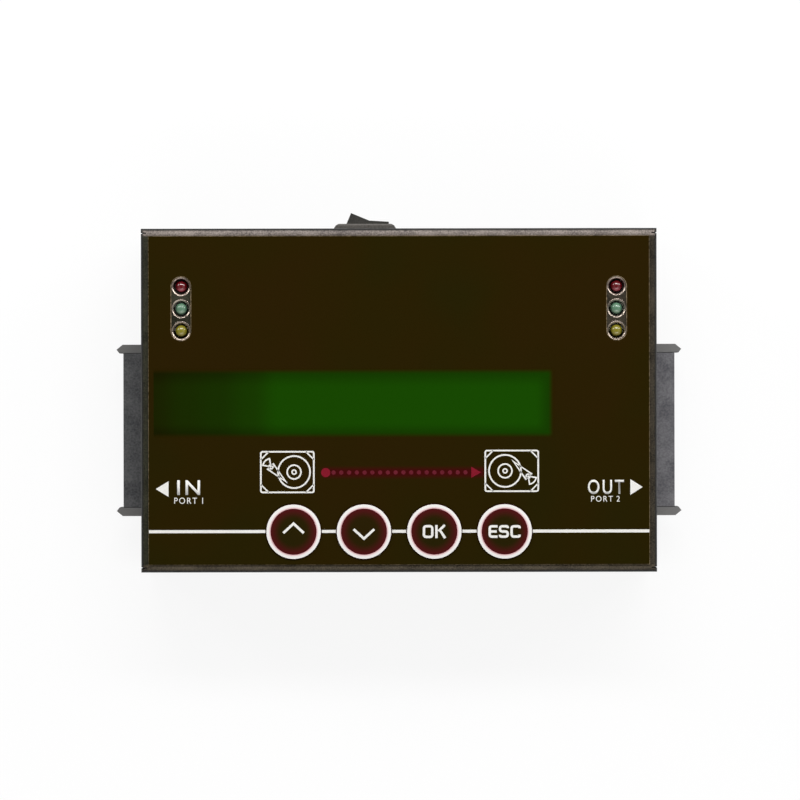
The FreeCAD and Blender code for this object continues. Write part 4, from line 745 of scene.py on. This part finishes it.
# the signs on the two ends of the rocker, which lie on its sloping faces
rockerSign = {"tip": 5.4, "dip": 0.8, "reach": 4.78, "place": 2.7, "tilt": -13, "stroke": 0.32, "bar": 2.0,
              "ring": 0.95, "thick": 0.03}
joints = {joint["name"]: joint for joint in frame["record"]["behaviour"]["joints"]}
pivot = joints["power_rocker"]["pos_m"]
slope = math.atan2(rockerSign["dip"], rockerSign["reach"])
for side, sign in ((-1, "rockerBar"), (1, "rockerRing")):
    bm = bmesh.new()
    stroke, half = rockerSign["stroke"] * mm, rockerSign["bar"] / 2 * mm
    if side < 0:
        inkStroke(bm, [(0, -half), (0, half)], stroke)
    else:
        inkRing(bm, (0, 0), rockerSign["ring"] * mm, stroke, 40)
    out = rockerSign["tip"] - rockerSign["dip"] * (1 - rockerSign["place"] / rockerSign["reach"])
    local = Matrix.Translation((side * rockerSign["place"] * mm, out * mm, 0))
    local = local @ Matrix.Rotation(side * slope, 4, "Z") @ Matrix.Rotation(-math.pi / 2, 4, "X")
    place = Matrix.Translation(pivot) @ Matrix.Rotation(math.radians(rockerSign["tilt"]), 4, "Z") @ local
    bmesh.ops.translate(bm, verts=doubled(bm), vec=(0, 0, rockerSign["thick"] * mm))
    bmesh.ops.transform(bm, matrix=place, verts=bm.verts)
    finishPiece(bm, sign, finishes["whiteInk"], "rocker")

# the switch frame: the solid's own shape, with its lip's ends drawn in and sloped
frameShape = {"slope": 1.0, "end": 1.6, "root": 0.12, "pinch": 0.15, "pinchEnd": 0.9, "pinchRoot": -0.01}
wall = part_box("top_cover")[1].y
low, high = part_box("rocker_housing")
lip = high.y - wall
bm = bmesh.new()
bm.from_mesh(nodes["rocker_housing"].data)
bmesh.ops.remove_doubles(bm, verts=bm.verts, dist=1e-6)
middle, half = (low.x + high.x) / 2, (high.x - low.x) / 2
for vert in bm.verts:
    out, side = (vert.co.y - wall) / lip, vert.co.x - middle
    if out > frameShape["root"] and abs(side) > half - frameShape["end"] * mm:
        vert.co.x -= math.copysign(frameShape["slope"] * mm * out, side)
    if out > frameShape["pinchRoot"] and abs(side) > half - frameShape["pinchEnd"] * mm:
        vert.co.x -= math.copysign(frameShape["pinch"] * mm, side)
switchFrame = finishPiece(bm, "switchFrame", finishes["switchHousingPaintedLit"], "case")
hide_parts("rocker_housing")
print("feet and switch done")

# what is printed on the panel
panelPrint = {
    "lineY": -31.94, "lineWide": 0.74, "keyHole": 6.85,
    "arrowDot": (-17.88, 1.12), "smallDots": (-15.96, 1.891, 18, 0.52), "head": (17.6, 20.0, 1.35),
    # the drive signs: where each lies and which way it faces, then what both are made of
    "drives": {"sourceSign": (-27.23, -17.46, 1), "targetSign": (27.47, -17.26, -1)},
    "driveSize": (12.9, 9.9), "rounding": 0.5, "corner": 1.9, "stroke": 0.4,
    "platter": (1.64, 0), "rings": [(3.9, 0.4), (1.68, 0.38), (0.5, 0.36)],
    "pivot": (-4.0, 1.3, 0.5), "arm": [(-4.8, 0.7), (-0.4, -2.3), (-3.4, 2.0)], "coil": (2.0, 100, 170),
    # each pointer with its tip, its base, its middle line and its height
    "triangles": {
        "sourcePointer": (-59.31, -56.19, -21.55, 3.83), "targetPointer": (59.38, 56.36, -21.24, 3.85),
    },
    # each word with its middle, its width and its height
    "words": {
        "sourceWord": ("IN", -51.3, -21.2, 5.6, 3.6), "targetWord": ("OUT", 50.4, -21.2, 8.8, 3.5),
        "sourceNumber": ("PORT 1", -51.3, -24.4, 7.0, 1.5), "targetNumber": ("PORT 2", 50.3, -24.1, 7.0, 1.4),
    },
    "letterSpace": 1.25, "wordSpace": 0.6, "bold": 0.12, "boldAbove": 2,
}


def onPrint(x, y):  # a place on the panel, in mm from its middle
    return panelMid + Vector((x, y)) * mm


bm = bmesh.new()
hole = panelPrint["keyHole"] * mm
breaks = [keySpots[n].x + side * hole for n in keyNames for side in (-1, 1)]
stops = [panelLow.x] + breaks + [panelHigh.x]
lineY = panelMid.y + panelPrint["lineY"] * mm
for start, stop in zip(stops[::2], stops[1::2]):
    inkStroke(bm, [(start, lineY), (stop, lineY)], panelPrint["lineWide"] * mm)
inkPiece(bm, "panelLine", finishes["whiteInk"], "case", onPanel)

# the overlay's cut edges, round the panel and round the lamps' slots, drawn as pale lines that are a painted
# highlight along each edge
edges = {"wide": 0.16, "slot": 2.43, "pitch": 5.4}
bm = bmesh.new()
inkStroke(bm, boxPath(panelLow, panelHigh, edges["wide"] / 2 * mm), edges["wide"] * mm, True)
inkPiece(bm, "overlayEdge", finishes["cutEdgeHighlight"], "case", lambda point: faceTop)
bm = bmesh.new()
for spot in sideSpots("green_lamps", lampSpec["radius"] * mm):
    for way in (-1, 1):
        turns = [math.pi * (n / 24 + (1 if way < 0 else 0)) for n in range(25)]
        path = [(spot[0] + edges["slot"] * mm * math.cos(a),
                 spot[1] + way * edges["pitch"] * mm + edges["slot"] * mm * math.sin(a)) for a in turns]
        inkStroke(bm, path + [(path[-1][0], spot[1])], edges["wide"] * mm)
        inkStroke(bm, [(path[0][0], spot[1]), path[0]], edges["wide"] * mm)
inkPiece(bm, "slotEdges", finishes["cutEdgeHighlight"], "case", onPanel)

# the overlay's own film, laid over the joint round the display window
seam = {"wide": 0.34, "gap": 0.025, "thick": 0.01}
bm = bmesh.new()
inkStroke(bm, boxPath(windowLow, windowHigh, seam["gap"] * mm), seam["wide"] * mm, True)
inkPiece(bm, "windowSeam", finishes["panelFilm"], "case", onPanel, seam["thick"] * mm)

for name, (x, y, way) in panelPrint["drives"].items():
    bm = bmesh.new()
    stroke = panelPrint["stroke"] * mm
    across, along = (v / 2 for v in panelPrint["driveSize"])
    corner = panelPrint["corner"]

    def spot(px, py):
        return onPrint(x + px * way, y + py * way)

    frameLine = [spot(*p) for p in ((-across, -along), (across, -along), (across, along), (-across, along))]
    inkStroke(bm, softened(frameLine, panelPrint["rounding"] * mm, True), stroke, True)
    for sx, sy in ((1, 1), (1, -1), (-1, -1), (-1, 1)):
        ends = [spot(sx * across, sy * (along - corner)), spot(sx * (across - corner), sy * along)]
        inkStroke(bm, ends, stroke * 0.85)
    for radius, wide in panelPrint["rings"]:
        inkRing(bm, spot(*panelPrint["platter"]), radius * mm, wide * mm, 64)
    inkStroke(bm, [spot(*p) for p in panelPrint["arm"]], stroke * 0.9, True)
    px, py, radius = panelPrint["pivot"]
    inkRing(bm, spot(px, py), radius * mm, stroke * 0.9, 40)
    reach, first, last = panelPrint["coil"]
    turns = [math.radians(first + (last - first) * n / 6) for n in range(7)]
    fan = [(px + r * math.cos(a), py + r * math.sin(a)) for r, a in
           [(radius + 0.25, turns[0])] + [(reach, a) for a in turns] + [(radius + 0.25, turns[-1])]]
    inkStroke(bm, [spot(*p) for p in fan], stroke * 0.9)
    inkPiece(bm, name, finishes["whiteInk"], "case", onPanel)

bm = bmesh.new()
x, radius = panelPrint["arrowDot"]
inkDisc(bm, (x * mm, arrowY), radius * mm)
base, tip, half = panelPrint["head"]
inkTriangle(bm, tip * mm, base * mm, arrowY, 2 * half * mm)
bright = grainMaterial("crimsonInk", (122, 16, 34), (142, 24, 44), 2200, 0.5, 0.05, 0.1)
dull = grainMaterial("dullInk", (98, 26, 38), (114, 34, 48), 2200, 0.5, 0.05, 0.1)
inkPiece(bm, "arrowEnds", bright, "case", onPanel)
first, pitch, count, radius = panelPrint["smallDots"]
bm = bmesh.new()
for n in range(count):
    inkDisc(bm, ((first + n * pitch) * mm, arrowY), radius * mm, 24)
inkPiece(bm, "arrowDots", dull, "case", onPanel)

for name, (tip, base, y, tall) in panelPrint["triangles"].items():
    bm = bmesh.new()
    start, stop = onPrint(base, y), onPrint(tip, y)
    inkTriangle(bm, stop.x, start.x, start.y, tall * mm)
    inkPiece(bm, name, finishes["whiteInk"], "case", onPanel)

for name, (words, x, y, wide, tall) in panelPrint["words"].items():
    curve = bpy.data.curves.new(name, "FONT")
    curve.body = words
    curve.size = 10 * mm
    curve.space_character, curve.space_word = panelPrint["letterSpace"], panelPrint["wordSpace"]
    curve.offset = panelPrint["bold"] * mm if tall > panelPrint["boldAbove"] else 0.0
    source = bpy.data.objects.new(name + "Text", curve)
    bpy.context.scene.collection.objects.link(source)
    mesh = bpy.data.meshes.new_from_object(source)
    bpy.data.objects.remove(source)
    bm = bmesh.new()
    bm.from_mesh(mesh)
    bpy.data.meshes.remove(mesh)
    xs, ys = [v.co.x for v in bm.verts], [v.co.y for v in bm.verts]
    centre = Vector(((min(xs) + max(xs)) / 2, (min(ys) + max(ys)) / 2, 0))
    size = Vector((wide * mm / (max(xs) - min(xs)), tall * mm / (max(ys) - min(ys)), 1))
    place = onPrint(x, y).to_3d()
    for vert in bm.verts:
        away = vert.co - centre
        vert.co = place + Vector((away.x * size.x, away.y * size.y, 0))
    inkPiece(bm, name, finishes["whiteInk"], "case", onPanel)
print("panel printed")

# floor, light and camera
stageSpec = {
    "floor": 3.0, "floorDrop": 0.1, "floorShade": (100, 100, 100), "floorShine": 0.885,
    "zenith": 0.05, "ring": 0.7, "horizon": 0.5, "side": 0.1,
}
floorMesh = bmesh.new()
bmesh.ops.create_grid(floorMesh, x_segments=1, y_segments=1, size=stageSpec["floor"] / 2)
mesh = bpy.data.meshes.new("floor")
floorMesh.to_mesh(mesh)
floorMesh.free()
# just under the feet, so that the two faces do not flicker
mesh.transform(Matrix.Translation((0, 0, -stageSpec["floorDrop"] * mm)))
floor = bpy.data.objects.new("floor", mesh)
bpy.context.scene.collection.objects.link(floor)

material = bpy.data.materials.new("floorPaper")
material.use_nodes = True
tree = material.node_tree
tree.nodes.clear()
rays = addNode(tree, "ShaderNodeLightPath").outputs
mirrored = mathNode(tree, "MAXIMUM", rays["Is Glossy Ray"], rays["Is Transmission Ray"])
seen = mathNode(tree, "MAXIMUM", rays["Is Camera Ray"], mirrored)
paper = addNode(tree, "ShaderNodeBsdfDiffuse", {"Color": shade(*stageSpec["floorShade"])}).outputs[0]
shine = mathNode(tree, "MULTIPLY", seen, stageSpec["floorShine"])
glow = addNode(tree, "ShaderNodeEmission", {"Color": (1, 1, 1, 1), "Strength": shine}).outputs[0]
both = addNode(tree, "ShaderNodeAddShader", {0: paper, 1: glow}).outputs[0]
tree.links.new(both, addNode(tree, "ShaderNodeOutputMaterial").inputs["Surface"])
mesh.materials.append(material)

world = bpy.data.worlds.new("studio")
bpy.context.scene.world = world
world.use_nodes = True
tree = world.node_tree
tree.nodes.clear()
way = addNode(tree, "ShaderNodeTexCoord").outputs["Generated"]
parts = splitCoords(tree, way)
# how bright the room is from the horizon up to straight overhead
rises = [(0.0, stageSpec["horizon"]), (0.55, stageSpec["ring"]), (0.8, stageSpec["ring"] * 0.8),
         (0.93, stageSpec["zenith"] * 2), (1.0, stageSpec["zenith"])]
level = ramp(tree, mathNode(tree, "MAXIMUM", parts["Z"], 0.0), [(place, (v, v, v, 1)) for place, v in rises])
aside = mathNode(tree, "ABSOLUTE", mathNode(tree, "SUBTRACT", parts["X"], 0.15))
level = mixColours(tree, remap(tree, aside, 0.2, 1.0, 0.0, 0.8), level, (stageSpec["side"],) * 3 + (1,))
lit = addNode(tree, "ShaderNodeBackground", {"Color": level, "Strength": 1.0}).outputs[0]
plain = addNode(tree, "ShaderNodeBackground", {"Color": (1, 1, 1, 1), "Strength": 1.0}).outputs[0]
camera = addNode(tree, "ShaderNodeLightPath").outputs["Is Camera Ray"]
mixed = addNode(tree, "ShaderNodeMixShader", {0: camera, 1: lit, 2: plain}).outputs[0]
tree.links.new(mixed, addNode(tree, "ShaderNodeOutputWorld").inputs["Surface"])

softboxes = {
    "backBox": {"place": (0.1, 0.86, 0.86), "size": (1.2, 0.18), "power": 9.2},
    "frontBox": {"place": (0.15, -0.8, 0.8), "size": (1.0, 0.2), "power": 1.2},
    "leftBox": {"place": (-0.72, 0.48, 0.4), "size": (0.26, 0.22), "power": 1.5},
    "rightBox": {"place": (0.72, 0.48, 0.4), "size": (0.26, 0.22), "power": 1.5},
}
target = Vector((0, 0, 0.02))
for name, spec in softboxes.items():
    lamp = bpy.data.lights.new(name, "AREA")
    lamp.shape, (lamp.size, lamp.size_y), lamp.energy = "RECTANGLE", spec["size"], spec["power"]
    holder = bpy.data.objects.new(name, lamp)
    bpy.context.scene.collection.objects.link(holder)
    holder.location = spec["place"]
    holder.rotation_euler = (target - Vector(spec["place"])).to_track_quat("-Z", "Y").to_euler()

# over the panel's middle, moved aside by the offset
cameraSpec = {"height": 0.8, "lens": 147.7, "offset": (0.26, 0.058), "roll": -0.1}
lensData = bpy.data.cameras.new("camera")
lensData.lens, lensData.sensor_width = cameraSpec["lens"], 36.0
cameraObject = bpy.data.objects.new("camera", lensData)
bpy.context.scene.collection.objects.link(cameraObject)
aim = panelMid + Vector(cameraSpec["offset"]) * mm
cameraObject.location = (aim.x, aim.y, panelTop + cameraSpec["height"])
cameraObject.rotation_euler = (0, 0, math.radians(cameraSpec["roll"]))
bpy.context.scene.camera = cameraObject
bpy.context.scene.view_settings.view_transform = "Standard"
print("stage set")
